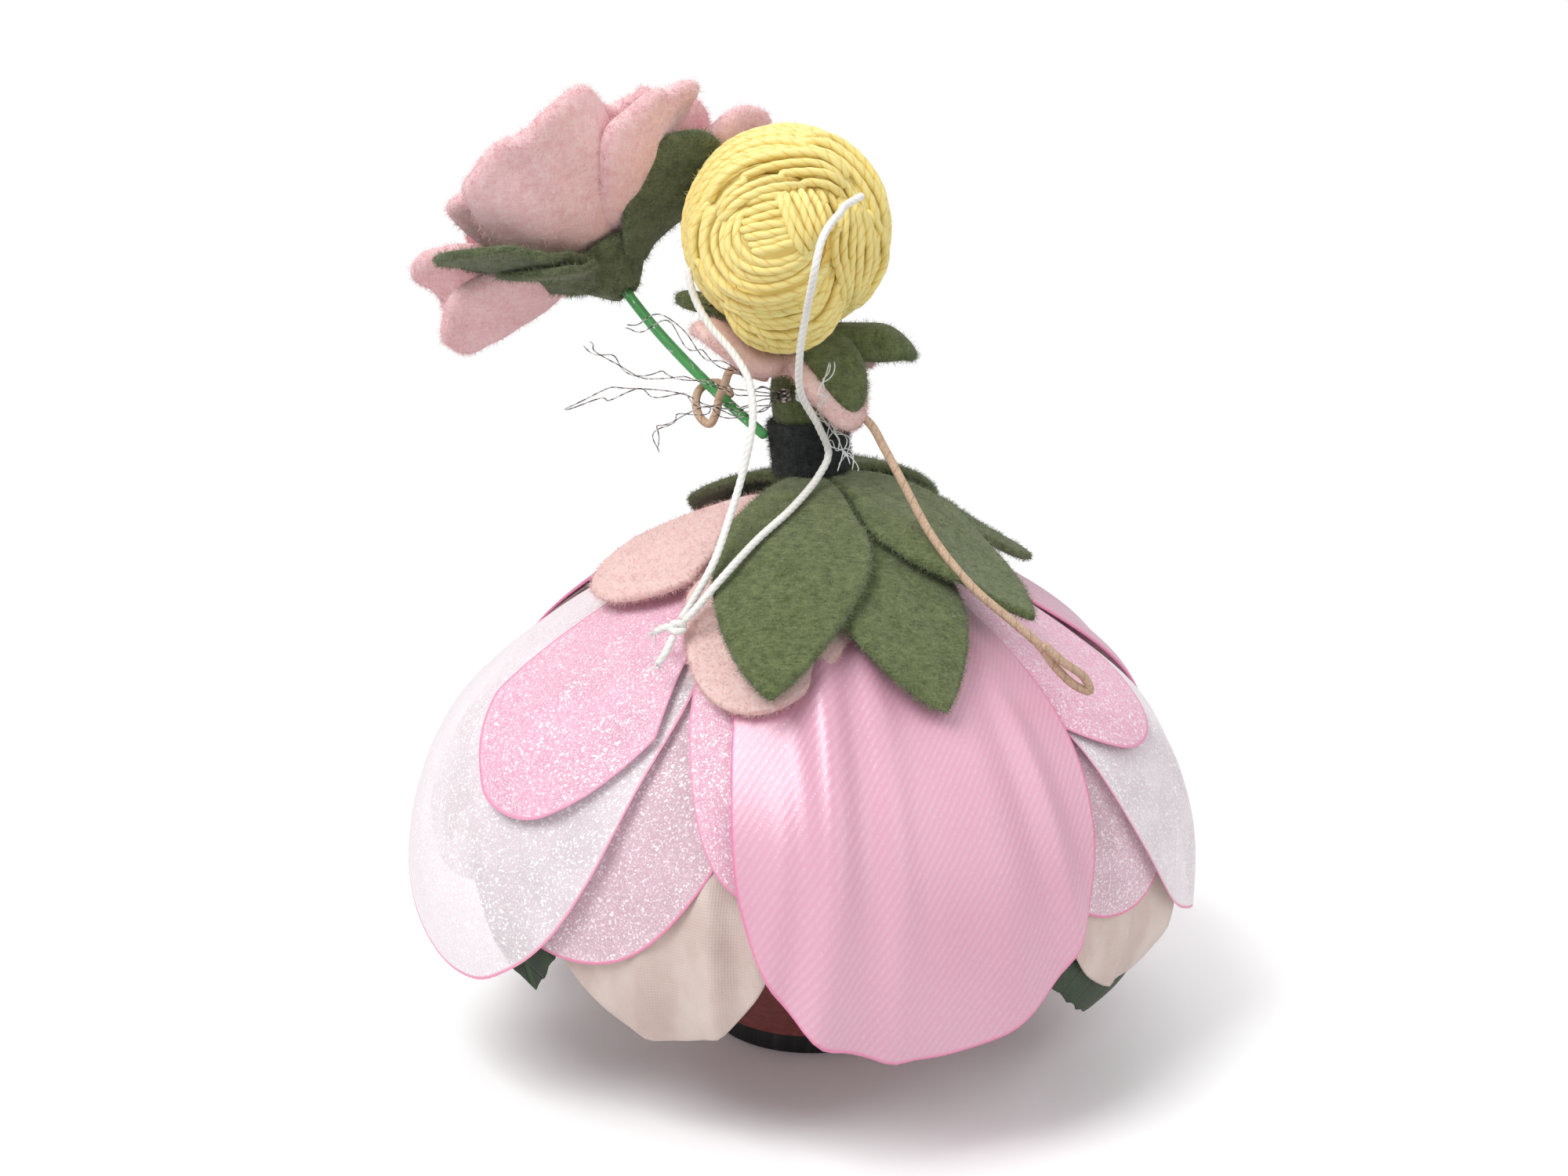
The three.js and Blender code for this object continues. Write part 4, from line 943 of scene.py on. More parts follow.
@cache
def plain_weave() -> Effect:
    """Silk's plain weave over slightly creased cloth, paler on the creases' raised parts as painted light, with its
    raised crossings whitened as painted sheen.

    Returns:
        The effect.
    """
    effect = Effect("plain_weave", "Body colour, Pale colour, Show", "Silk colour, Weave, Creases")
    warp = effect.waves(effect.grain(), (3.1, 0.0, 0.0))
    weft = effect.waves(effect.grain(), (0.0, 3.1, 0.0))
    weave = effect.math("MULTIPLY", warp, weft)
    creases = effect.noise(effect.grain((0.5, 0.25, 1.0)), 0.35, 3.0)
    # Painted light: the cloth is paler where the crease relief stands up, and keeps its body colour in the hollows.
    tone = effect.blend(effect.step(creases, 0.3, 0.7), effect.taken[0], effect.taken[1])
    # Painted sheen: the weave's raised crossings are whitened, as much as Show gives.
    effect.give("Silk colour", effect.blend(effect.math("MULTIPLY", weave, effect.taken[2]), tone, WHITE))
    effect.give("Weave", weave)
    effect.give("Creases", creases)
    return effect


class Silk(Finish):
    """Plain-woven silk, with printed veins where it is a leaf."""

    def __init__(self, name: str, body: Colour, pale: Colour, vein: bool = False) -> None:
        """Builds the material.

        Args:
            name: the material's name.
            body: the cloth's colour.
            pale: the paler shade painted on the creases' raised parts as light, also the veins' printed colour.
            vein: whether it is a leaf with veins.
        """
        super().__init__(name, Roughness=0.5, Specular_IOR_Level=0.35, Sheen_Weight=0.05 if vein else 0.25,
                        Sheen_Roughness=0.4)
        silk = self.effect(plain_weave(), Body_colour=body, Pale_colour=pale, Show=0.04 if vein else 0.14)
        tone = silk["Silk colour"]
        if vein:
            split = self.node("SeparateXYZ", Vector=self.grain())
            aside = self.math("ABSOLUTE", split.outputs[0])
            slanting = self.math("SUBTRACT", split.outputs[1], self.math("MULTIPLY", aside, 0.9))
            ribs = self.math("ABSOLUTE", self.math("SINE", self.math("MULTIPLY", slanting, 0.6)))
            lines = self.math("MINIMUM", self.step(ribs, 0.0, 0.14), self.step(aside, 0.1, 0.5))
            tone = self.blend(lines, pale, tone)
            self.bump(lines, 0.2, 0.8)
        self.set("Base Color", tone)
        self.bump(silk["Weave"], 0.04, 0.7)
        self.bump(silk["Creases"], 0.5, 0.5)


class WrappedWire(Finish):
    """Wire wound with a strip of crepe paper, whose edge shows as a slanting line."""

    def __init__(self, name: str, dark: Colour, light: Colour) -> None:
        """Builds the material.

        Args:
            name: the material's name.
            dark: the darker shade.
            light: the lighter shade.
        """
        super().__init__(name, Roughness=0.85, Specular_IOR_Level=0.2)
        split = self.node("SeparateXYZ", Vector=self.grain())
        lap = self.step(split.outputs[0], 0.86, 1.0)
        crepe = self.noise(self.grain((1.5, 1.5, 3.0)), 1.6, 4.0, 0.65)
        tone = self.blend(self.step(crepe, 0.3, 0.7), dark, light)
        self.set("Base Color", self.blend(self.step(lap, 0.0, 1.0, 0.0, 0.55), tone, dark))
        self.bump(self.math("SUBTRACT", crepe, lap), 0.12, 0.8)


class GreenWire(Finish):
    """Green-lacquered wire, chipped to the metal in places."""

    def __init__(self) -> None:
        """Builds the material."""
        super().__init__("green_wire", Roughness=0.45, Specular_IOR_Level=0.5)
        chips = self.step(self.noise(self.grain((0.9, 0.9, 0.55)), 1.1, 4.0, 0.7), 0.60, 0.64)
        tone = self.blend(self.noise(self.grain((1.0, 1.0, 0.4)), 1.0), rgb(46, 130, 66), rgb(98, 182, 104))
        self.set("Base Color", self.blend(chips, tone, rgb(196, 205, 196)))
        self.set("Metallic", self.step(chips, 0.0, 1.0, 0.0, 0.5))
        self.bump(chips, 0.05, 0.8)


class MetalThread(Finish):
    """Metallic thread, silver with black stretches."""

    def __init__(self) -> None:
        """Builds the material."""
        super().__init__("metal_thread", Roughness=0.3, Metallic=0.7, Specular_IOR_Level=0.5)
        stretches = self.noise(self.grain((0.2, 0.2, 0.9)), 1.2, 2.0)
        shade = self.step(stretches, 0.44, 0.56)
        self.set("Base Color", self.blend(shade, rgb(58, 54, 56), rgb(205, 200, 196)))
        self.bump(self.noise(self.grain((1.0, 1.0, 4.0)), 2.0), 0.03)


@cache
def wood_grain() -> Effect:
    """A value that runs along the wood's grain, and its pores.

    Returns:
        The effect.
    """
    effect = Effect("wood_grain", "Along", "Grain, Pores")
    effect.give("Grain", effect.noise(effect.place((1.4, 1.4, 0.12)), effect.taken[0], 4.0, 0.6))
    effect.give("Pores", effect.noise(effect.place((5.0, 5.0, 0.5)), 1.4, 2.0))
    return effect


class PaintedWood(Finish):
    """The base: dusky red on top, worn black paint on its edge, and grain under both."""

    def __init__(self) -> None:
        """Builds the material."""
        super().__init__("painted_wood", Roughness=0.55, Specular_IOR_Level=0.4)
        facing = self.node("SeparateXYZ", Vector=self.node("NewGeometry").outputs["Normal"]).outputs[2]
        grain = self.effect(wood_grain(), Along=0.9)["Grain"]
        dusk = self.blend(self.step(grain, 0.3, 0.7), rgb(160, 90, 86), rgb(188, 116, 110))
        black = self.blend(self.step(grain, 0.35, 0.8), rgb(34, 34, 34), rgb(58, 58, 57))
        self.set("Base Color", self.blend(self.step(facing, 0.55, 0.85), black, dusk))
        self.set("Roughness", self.step(grain, 0.3, 0.7, 0.45, 0.65))
        self.bump(grain, 0.06, 0.7)


class BareWood(Finish):
    """Turned wood with a fine grain, and for the head a plain painted face."""

    EYE_TURNS = (21, -21)
    EYE_UP = 0.4
    MOUTH_UP = -2.0

    def __init__(self, name: str, face: bool) -> None:
        """Builds the material.

        Args:
            name: the material's name.
            face: whether it carries the painted face.
        """
        super().__init__(name, "bare_wood", Roughness=0.5, Specular_IOR_Level=0.35)
        wood = self.effect(wood_grain(), Along=1.5)
        colour = self.blend(self.step(wood["Grain"], 0.3, 0.7), rgb(214, 178, 134), rgb(232, 204, 164))
        if face:
            place = self.place()
            eyes = [self.on_face(turn, self.EYE_UP) for turn in self.EYE_TURNS]
            mouth = self.on_face(0.0, self.MOUTH_UP)
            apart = {"operation": "DISTANCE"}
            *near, ring = (self.node("VectorMath", apart, _0=place, _1=tuple(spot)).outputs["Value"]
                           for spot in (*eyes, mouth))
            dots = self.step(self.math("MINIMUM", *near), 0.72, 0.62)
            line = self.step(self.math("ABSOLUTE", self.math("SUBTRACT", ring, 2.0)), 0.24, 0.16)
            height = self.node("SeparateXYZ", Vector=place).outputs[2]
            below = self.step(height, mouth[2] - 0.9, mouth[2] - 1.3)
            smile = self.math("MULTIPLY", line, below)
            colour = self.blend(dots, colour, rgb(58, 44, 40))
            colour = self.blend(smile, colour, rgb(176, 84, 80))
        self.set("Base Color", colour)
        self.bump(wood["Pores"], 0.03, 0.6)

    @staticmethod
    def on_face(turn: float, up: float) -> Array:
        """A place on the face, by its turn from the middle and its height over the head's centre."""
        return leaning(HEAD_RADIUS * outward(180.0 + turn) + (0.0, 0.0, up), HEAD_CENTRE_UP)


class PlainWire(Finish):
    """Drawn steel wire with fine lines along it."""

    def __init__(self) -> None:
        """Builds the material."""
        super().__init__("plain_wire", Roughness=0.35, Metallic=0.9)
        lines = self.noise(self.place((3.0, 3.0, 0.3)), 2.0)
        self.set("Base Color", self.blend(lines, rgb(120, 120, 122), rgb(176, 176, 178)))
        self.bump(lines, 0.02)


class Floor(Finish):
    """A pale floor that the camera sees as white where no shadow falls, and that ends softly."""

    FADE = (130.0, 330.0)

    def __init__(self) -> None:
        """Builds the material."""
        super().__init__("floor", Roughness=0.9, Specular_IOR_Level=0.1)
        speckle = self.noise(self.place(), 0.02, 2.0)
        pale, white = (self.blend(speckle, (low,) * 3 + (1.0,), (high,) * 3 + (1.0,))
                       for low, high in ((0.80, 0.82), (1.12, 1.13)))
        seen = self.node("LightPath").outputs["Is Camera Ray"]
        self.set("Base Color", self.blend(seen, pale, white))
        away = self.node("VectorMath", {"operation": "LENGTH"}, _0=self.place()).outputs["Value"]
        self.set("Alpha", self.step(away, *self.FADE, 1.0, 0.0))


class Studio:
    """The camera, soft lights and a pale floor."""

    FLOOR_HALF = 0.36
    AIM = (0.0, 0.0, 0.06)
    LIGHTS = (("key", (-0.42, -0.32, 0.76), 0.5, 5.6), ("fill", (0.60, -0.40, 0.50), 0.8, 1.8),
              ("back", (0.1, 0.6, 0.7), 0.7, 2.4))
    WORLD = (0.50, 0.50, 0.51, 1.0)

    def add_camera(self) -> None:
        """Puts the camera where the photograph was taken from."""
        data = bpy.data.cameras.new("camera")
        data.lens = CAMERA_LENS
        data.sensor_width = 36.0
        data.clip_start = 0.01
        camera = bpy.data.objects.new("camera", data)
        camera.location = [value * MM for value in CAMERA_PLACE]
        camera.rotation_euler = (math.radians(90.0 - CAMERA_PITCH), 0.0, math.radians(CAMERA_YAW))
        bpy.context.scene.collection.objects.link(camera)
        bpy.context.scene.camera = camera

    def add_light(self, name: str, place: tuple, size: float, power: float) -> None:
        """Adds a square soft light that shines at the figure's middle.

        Args:
            name: the light's name.
            place: where it is, in metres.
            size: its side, in metres.
            power: in watts.
        """
        data = bpy.data.lights.new(name, "AREA")
        data.size = size
        data.energy = power
        light = bpy.data.objects.new(name, data)
        light.location = place
        aim = np.subtract(self.AIM, place)
        level = math.hypot(aim[0], aim[1])
        light.rotation_euler = (math.atan2(level, -aim[2]), 0.0, math.atan2(aim[1], aim[0]) - math.pi / 2)
        bpy.context.scene.collection.objects.link(light)

    def add_surroundings(self) -> None:
        """Adds the floor, the lights and a pale world that the camera sees as white."""
        rows = np.array([[-1, -1, 0], [1, -1, 0], [1, 1, 0], [-1, 1, 0]], float) * self.FLOOR_HALF / MM
        surface = Surface(rows, rows.copy(), np.ones(4), np.array([[0, 1, 2, 3]]))
        add_object("floor", surface, Floor().material)
        for light in self.LIGHTS:
            self.add_light(*light)
        world = bpy.data.worlds.new("studio")
        world.use_nodes = True
        bpy.context.scene.world = world
        nodes, links = world.node_tree.nodes, world.node_tree.links
        seen = nodes.new("ShaderNodeLightPath").outputs["Is Camera Ray"]
        mix = nodes.new("ShaderNodeMix")
        mix.data_type = "RGBA"
        mix.inputs[6].default_value = self.WORLD
        mix.inputs[7].default_value = WHITE
        links.new(seen, mix.inputs[0])
        links.new(mix.outputs[2], nodes["Background"].inputs["Color"])


def all_finishes() -> dict[str, Finish]:
    """Builds every finish of the ornament, by name.

    Returns:
        The finishes by their names.
    """
    made = (
        PaintedWood(),
        BareWood("bare_wood", False),
        BareWood("face_wood", True),
        PlainWire(),
        Felt("green_felt", rgb(72, 84, 48), rgb(120, 130, 86)),
        Felt("green_nap", rgb(92, 108, 68), rgb(152, 162, 122), slot="green_felt"),
        Felt("calyx_felt", rgb(68, 78, 54), rgb(116, 126, 92), slot="green_felt"),
        Felt("pink_felt", rgb(238, 194, 190), rgb(250, 222, 216)),
        Felt("black_felt", rgb(26, 32, 30), rgb(66, 72, 70), 0.15),
        Felt("rose_felt", rgb(244, 190, 194), rgb(255, 224, 224)),
        # A copy of the rose felt, deeper and darker pink, painted with the shade of the flower's crevices.
        Felt("rose_painted_shade", rgb(243, 164, 176), rgb(251, 202, 208), slot="rose_felt"),
        # Each thread's first colour is painted in its grooves as shade.
        Thread("hair_thread", rgb(238, 202, 104), rgb(254, 238, 156), 0.6),
        Thread("white_cord", rgb(222, 220, 212), rgb(252, 251, 247), 0.25),
        Thread("white_wisp", rgb(206, 206, 204), rgb(244, 244, 242), 0.6, slot="metal_thread"),
        Satin("pink_satin", rgb(216, 150, 176), rgb(230, 174, 194), rgb(232, 124, 170)),
        Organza("organza", rgb(240, 226, 232), rgb(255, 254, 254), rgb(240, 158, 188), 0.74),
        Organza("organza_blush", rgb(230, 188, 204), rgb(255, 240, 244), rgb(236, 140, 176), 0.78, slot="organza"),
        Organza("organza_pink", rgb(232, 164, 192), rgb(255, 236, 242), rgb(232, 152, 184), 0.9),
        Silk("cream_silk", rgb(204, 180, 170), rgb(222, 204, 194)),
        Silk("dark_silk", rgb(30, 46, 24), rgb(52, 76, 40), vein=True),
        WrappedWire("paper_wire", rgb(184, 152, 126), rgb(224, 196, 170)),
        GreenWire(),
        MetalThread(),
    )
    return {finish.name: finish for finish in made}


@dataclass
class Cord:
    """The white hanging cord: two strands from the hair to a knot with two tails.

    Its heights are measured from the torso's top, upright.
    """

    finishes: dict[str, Finish]
    radius: float = 0.46
    pitch: float = 2.6
    groove: float = 0.16
    knot_radius: float = 1.05
    knot_tilts: tuple = (0.35, 2.1)
    frays: int = 9
    fray_length: float = 0.35
    fray_radius: float = 0.06
    right: tuple = ((5.6, -8.8, 20.9), (3.6, -11.0, 20.1), (2.9, -14.6, 19.8), (1.6, -18.0, 18.8),
                    (0.8, -19.9, 17.4), (0.2, -20.8, 14.9), (-0.3, -19.3, 12.0), (-0.8, -16.4, 8.9),
                    (-1.5, -13.8, 3.9), (-1.4, -10.8, -1.4), (0.7, -8.1, -6.1), (1.8, -6.6, -9.7),
                    (0.7, -8.2, -11.8), (-2.4, -13.9, -14.2), (-6.3, -19.2, -16.5), (-10.2, -24.2, -19.6),
                    (-13.2, -25.6, -22.9), (-14.4, -25.7, -24.1))
    left: tuple = ((-14.3, -6.8, 12.3), (-14.0, -7.4, 10.4), (-13.3, -7.8, 8.4), (-11.8, -9.2, 6.1),
                   (-9.1, -11.2, 3.3), (-7.3, -12.8, 0.5), (-6.8, -14.4, -3.2), (-7.1, -15.2, -5.8),
                   (-8.1, -16.2, -10.1), (-9.4, -18.4, -14.1), (-11.1, -22.2, -18.3), (-13.7, -23.9, -22.8),
                   (-14.7, -24.9, -24.1))
    knot: tuple = (-15.0, -25.6, -24.8)
    tails: tuple = (((-15.4, -26.2, -25.5), (-16.3, -27.6, -27.1), (-17.2, -27.4, -28.6)),
                    ((-15.6, -25.4, -24.8), (-16.6, -24.8, -25.1), (-17.6, -24.0, -25.9)))

    def path(self, points: tuple) -> Array:
        """A route's fine centreline in the ornament's frame."""
        return smooth_curve(points + (DOWEL_TOP + TORSO_HEIGHT) * UP, 0.22)

    def twisted(self, path: Array, sides: int = 14) -> Surface:
        """Twisted cord along a path."""
        return tube(path, self.radius, sides, plies=3, pitch=self.pitch, groove=self.groove)

    def tied(self) -> Surface:
        """The knot: two turns of cord wound round each other, and the tails with frayed ends.

        Returns:
            All of it as one surface.
        """
        centre = self.knot + (DOWEL_TOP + TORSO_HEIGHT) * UP
        turn = np.linspace(0.0, 2 * np.pi, 60)
        reach = self.knot_radius - 0.35
        parts = []
        for tilt in self.knot_tilts:
            loop = np.stack([reach * np.cos(turn), reach * np.sin(turn) * math.cos(tilt),
                             reach * np.sin(turn) * math.sin(tilt)], axis=1)
            parts.append(self.twisted(centre + loop, 12))
        parts += [self.twisted(self.path(tail)) for tail in self.tails]
        rng = np.random.default_rng(5)
        for tail in self.tails:
            end = self.path(tail)[-1]
            for _ in range(self.frays):
                stray = rng.normal(size=3) * self.fray_length
                fibre = smooth_curve([end, end + stray, end + 1.9 * stray - 0.2 * UP], 0.15)
                parts.append(tube(fibre, self.fray_radius, 5))
        return Surface.joined(parts)

    def add(self) -> None:
        cotton = self.finishes["white_cord"]
        knot = add_piece("cord_tied", self.tied(), cotton, ("cord_knot",))
        for side, points in (("right", self.right), ("left", self.left)):
            path = self.path(points)
            piece = add_piece(f"cord_{side}", self.twisted(path), cotton, (f"cord_strand_{side}",))


@dataclass
class WoodenCore:
    """The base disc in fine detail, and materials for the wood and wire that the cloth hides."""

    finishes: dict[str, Finish]
    chamfer: float = 0.3
    hidden: tuple = ("body_dowel", "skirt_washer", "torso_bead")

    def base(self) -> Surface:
        """The disc: flat above and below, with slightly rounded edges.

        Returns:
            The disc.
        """
        corner = np.linspace(0.0, np.pi / 2, 5)
        inner = BASE_RADIUS - self.chamfer
        profile = [(radius, 0.0) for radius in (2.0, 8.0, inner)]
        profile += [(inner + self.chamfer * math.sin(a), self.chamfer * (1 - math.cos(a))) for a in corner[1:]]
        profile += [(inner + self.chamfer * math.cos(a), BASE_THICKNESS - self.chamfer * (1 - math.sin(a)))
                    for a in corner]
        profile += [(radius, BASE_THICKNESS) for radius in (11.0, 8.0, 5.0, DOWEL_RADIUS)]
        return turned(profile)

    def add(self, nodes: dict) -> None:
        """Adds the base and gives the hidden nodes their materials.

        Args:
            nodes: the CAD nodes by name.
        """
        add_piece("base", self.base(), self.finishes["painted_wood"], ("base_disc",))
        for name in self.hidden:
            nodes[name].material_slots[0].material = self.finishes["bare_wood"].material
        nodes["spine_wire"].material_slots[0].material = self.finishes["plain_wire"].material


def torso_radius(share: Array) -> Array:
    """The torso bead's radius at a share of its height.

    Args:
        share: of its height.

    Returns:
        The radius there.
    """
    rise = smoothstep(share, 0.0, TORSO_CHEST_SHARE)
    fall = smoothstep(share, TORSO_CHEST_SHARE, 1.0)
    return (TORSO_WAIST_RADIUS + (TORSO_CHEST_RADIUS - TORSO_WAIST_RADIUS) * rise
            + (TORSO_NECK_RADIUS - TORSO_CHEST_RADIUS) * fall)


@dataclass
class Torso:
    """The felt bodice, with its seam down the back, and the black felt band at the waist."""

    finishes: dict[str, Finish]
    seam_azimuth: float = 12.0
    seam_half: float = 5.0
    seam_depth: float = 0.15
    bodice_width: float = 24.0
    bodice_lumps: float = 0.05
    band_lumps: float = 0.12
    band_foot: float = -0.07
    around: int = 72

    def wrap(self, distance: float, to_share: float, lumps: float, from_share: float = 0.0) -> Surface:
        """Felt wound round the torso, out to a distance from the wood.

        Args:
            distance: how far its outer face is from the wood.
            to_share: its top, as a share of the torso.
            lumps: how uneven it is.
            from_share: its foot, likewise.

        Returns:
            The felt, before it leans.
        """
        shares = np.linspace(from_share, to_share, 26)
        azimuths = 360.0 * np.arange(self.around) / self.around
        seam = np.exp(-(turn_between(self.seam_azimuth, azimuths) / self.seam_half) ** 2)
        lump = lumps * (np.sin(np.radians(3 * azimuths) + 5 * shares[:, None]) + np.sin(np.radians(5 * azimuths) + 2))
        ends = np.minimum(shares - from_share, to_share - shares)[:, None] * TORSO_HEIGHT
        rounding = 0.35 * (1.0 - np.sqrt(1.0 - (1.0 - np.clip(ends / 0.5, 0.0, 1.0)) ** 2))
        radius = torso_radius(shares)[:, None] + distance + lump - self.seam_depth * seam - rounding
        height = np.broadcast_to(SEAT_GAP + shares[:, None] * TORSO_HEIGHT, radius.shape)
        grid = outward(np.broadcast_to(azimuths, radius.shape)) * radius[..., None]
        grid[..., 2] = height
        wood = torso_radius(shares[[-1, 0]]) + SEAT_GAP
        inner = outward(np.broadcast_to(azimuths, (2, self.around))) * wood[:, None, None]
        inner[..., 2] = height[[-1, 0]]
        shell = np.concatenate([inner[1:], grid, inner[:1]])
        points = shell.reshape(-1, 3)
        quads = ring_quads(len(shell), self.around)
        grain = np.stack([np.tile(azimuths / 12, len(shell)), points[:, 2], np.zeros(len(points))], axis=1)
        return Surface(points, grain, np.ones(len(points)), quads)

    def add(self) -> None:
        """Adds the bodice and the band."""
        bodice = self.wrap(SEAT_GAP + BODICE_FELT, 1.0, self.bodice_lumps).placed(lambda points: leaning(points, 0.0))
        felt = self.finishes["green_felt"]
        piece = add_piece("bodice_felt", bodice, felt, ("bodice",))
        add_nap("bodice_felt", bodice, Nap(felt, length=0.5))
        band = self.wrap(2 * SEAT_GAP + BODICE_FELT + BAND_FELT, BAND_HEIGHT / TORSO_HEIGHT, self.band_lumps,
                         self.band_foot)
        band = band.placed(lambda points: leaning(points, 0.0))
        felt = self.finishes["black_felt"]
        add_piece("waist_felt", band, felt, ("waist_band",))
        add_nap("waist_felt", band, Nap(felt, per_mm2=26.0))


@dataclass(frozen=True)
class Bundle:
    """Threads laid side by side, between rails given in the back view.

    A rail is a list of (right, up) places in millimetres from the head's centre, as seen from behind and a
    little above, and the threads lie on the hair at a lift above it.
    """

    rails: tuple
    threads: int
    lift: float


@dataclass
class Hair:
    """Cotton thread wound over the head, and the wound bun on its back."""

    finishes: dict[str, Finish]
    thread_radius: float = 0.5
    thread_pitch: float = 3.4
    thread_groove: float = 0.13
    pitch: float = 0.94
    wander: float = 0.1
    sink: float = 0.9
    sink_share: float = 0.06
    under_drop: float = 0.35
    bun_azimuth: float = -6.0
    bun_rise: float = 3.0
    bun_radius: float = 6.7
    bun_depth: float = 5.3
    bun_out: float = 13.0
    nape_azimuth: float = -8.0
    nape_drop: float = 42.0
    nape_bulge: float = 3.4
    nape_edge: float = 38.0
    nape_bare: float = 32.0
    view_azimuth: float = 0.5
    view_rise: float = 9.6
    row_waver: float = 0.9
    row_lift: float = 0.22
    first_polar: float = 30.0
    last_full_polar: float = 88.0
    last_polar: float = 117.0
    bundles: tuple = (
        Bundle((((-8.9, 3.7), (-10.3, 0.5), (-10.2, -3.1), (-8.7, -6.4), (-5.3, -8.6), (-1.1, -9.0), (3.2, -7.7)),
                ((-7.2, 3.3), (-8.7, 0.3), (-8.7, -3.1), (-6.8, -6.1), (-3.0, -7.6), (1.2, -6.6), (4.6, -4.2))),
               4, 0.5),
        Bundle((((6.0, 3.6), (5.6, 0.7), (5.3, -1.8), (5.7, -4.3), (6.3, -6.8), (6.2, -8.6)),
                ((9.0, 2.2), (10.4, -0.9), (10.6, -3.6), (9.6, -6.0), (8.4, -7.8), (7.2, -8.9))), 7, 0.6),
        Bundle((((-5.6, -8.3), (-2.4, -8.9), (1.0, -8.6), (4.0, -7.4)),
                ((-2.6, -12.3), (-1.1, -13.2), (0.6, -13.4), (2.3, -12.6))), 6, 0.35),
        Bundle((((-4.1, 2.6), (-5.3, 0.7), (-5.4, -1.2), (-4.1, -2.9), (-1.9, -3.5), (0.8, -2.9), (2.6, -1.6)),
                ((-6.0, 2.4), (-7.5, 0.3), (-7.6, -2.5), (-6.0, -5.2), (-2.8, -6.3), (0.8, -5.4), (3.4, -3.4))),
               4, 0.25),
        Bundle((((-4.4, 2.7), (-2.4, 3.5), (0.2, 3.9)), ((-4.9, -0.2), (-2.8, 0.3), (0.5, 0.9)),
                ((-3.6, -2.3), (-1.5, -2.1), (1.2, -1.2))), 7, 0.45),
        Bundle((((-1.0, 3.9), (-0.1, 1.6), (0.9, -0.6), (2.3, -2.6)),
                ((3.3, 4.5), (4.2, 3.0), (4.8, 1.4), (5.0, -0.2))), 6, 0.8),
        Bundle((((1.4, 8.6), (4.4, 7.9), (7.0, 6.0), (9.1, 3.2), (10.3, 0.2)),
                ((1.8, 10.6), (5.2, 9.8), (8.3, 7.3), (10.4, 4.0), (11.2, 0.0))), 3, 0.8),
        Bundle((((-7.1, 0.9), (-4.9, 3.0), (-1.8, 4.4), (1.6, 4.8), (4.0, 4.7), (6.0, 3.9)),
                ((-8.2, 2.9), (-6.4, 5.0), (-3.4, 6.8), (0.2, 7.6), (3.6, 7.5), (6.6, 5.7))), 4, 1.25),
    )

    def bun_frame(self, vectors: Array) -> Array:
        """Turns +Z to the bun's axis, with +X kept level.

        Args:
            vectors: places or directions about +Z.

        Returns:
            The same about the bun's axis.
        """
        x, y, z = np.moveaxis(np.asarray(vectors, float), -1, 0)
        rise, azimuth = math.radians(90.0 - self.bun_rise), math.radians(self.bun_azimuth)
        back, up = y * math.cos(rise) - z * math.sin(rise), y * math.sin(rise) + z * math.cos(rise)
        return np.stack([x * math.cos(azimuth) - back * math.sin(azimuth),
                         x * math.sin(azimuth) + back * math.cos(azimuth), up], axis=-1)

    def view_frame(self) -> Array:
        """Right, up and towards the viewer, in the head's own leaning frame.

        Returns:
            The three axes as rows.
        """
        rise = math.radians(self.view_rise)
        towards = outward(np.array(self.view_azimuth)) * math.cos(rise) + (0.0, 0.0, math.sin(rise))
        right = outward(np.array(self.view_azimuth + 90.0))
        lean = math.radians(LEAN_DEGREES)
        unlean = np.array([[math.cos(lean), 0, math.sin(lean)], [0, 1, 0], [-math.sin(lean), 0, math.cos(lean)]])
        return np.array([unlean @ axis for axis in (right, np.cross(towards, right), towards)])

    def bulge(self, directions: Array) -> Array:
        """How far the hair stands out at the nape, in a direction from the head's centre.

        Args:
            directions: unit vectors.

        Returns:
            How far, for each.
        """
        drop = math.radians(self.nape_drop)
        nape = outward(np.array(self.nape_azimuth)) * math.cos(drop) - (0.0, 0.0, math.sin(drop))
        return self.nape_bulge * smoothstep(directions @ nape, math.cos(math.radians(self.nape_edge)), 1.0)

    def on_hair(self, polar: Array, turn: Array, lift: Array | float = 0.0) -> Array:
        """A place on the hair by its angle from the bun's axis and its turn round it from the crown.

        Args:
            polar: the angle from the bun's axis.
            turn: the turn round it from the crown.
            lift: how far above the hair.

        Returns:
            The places, from the head's centre.
        """
        p, t = np.radians(polar), np.radians(turn)
        direction = self.bun_frame(np.stack([np.sin(p) * np.sin(t), np.sin(p) * np.cos(t), np.cos(p)], axis=-1))
        return direction * (HAIR_RADIUS + self.bulge(direction) + lift)[..., None]

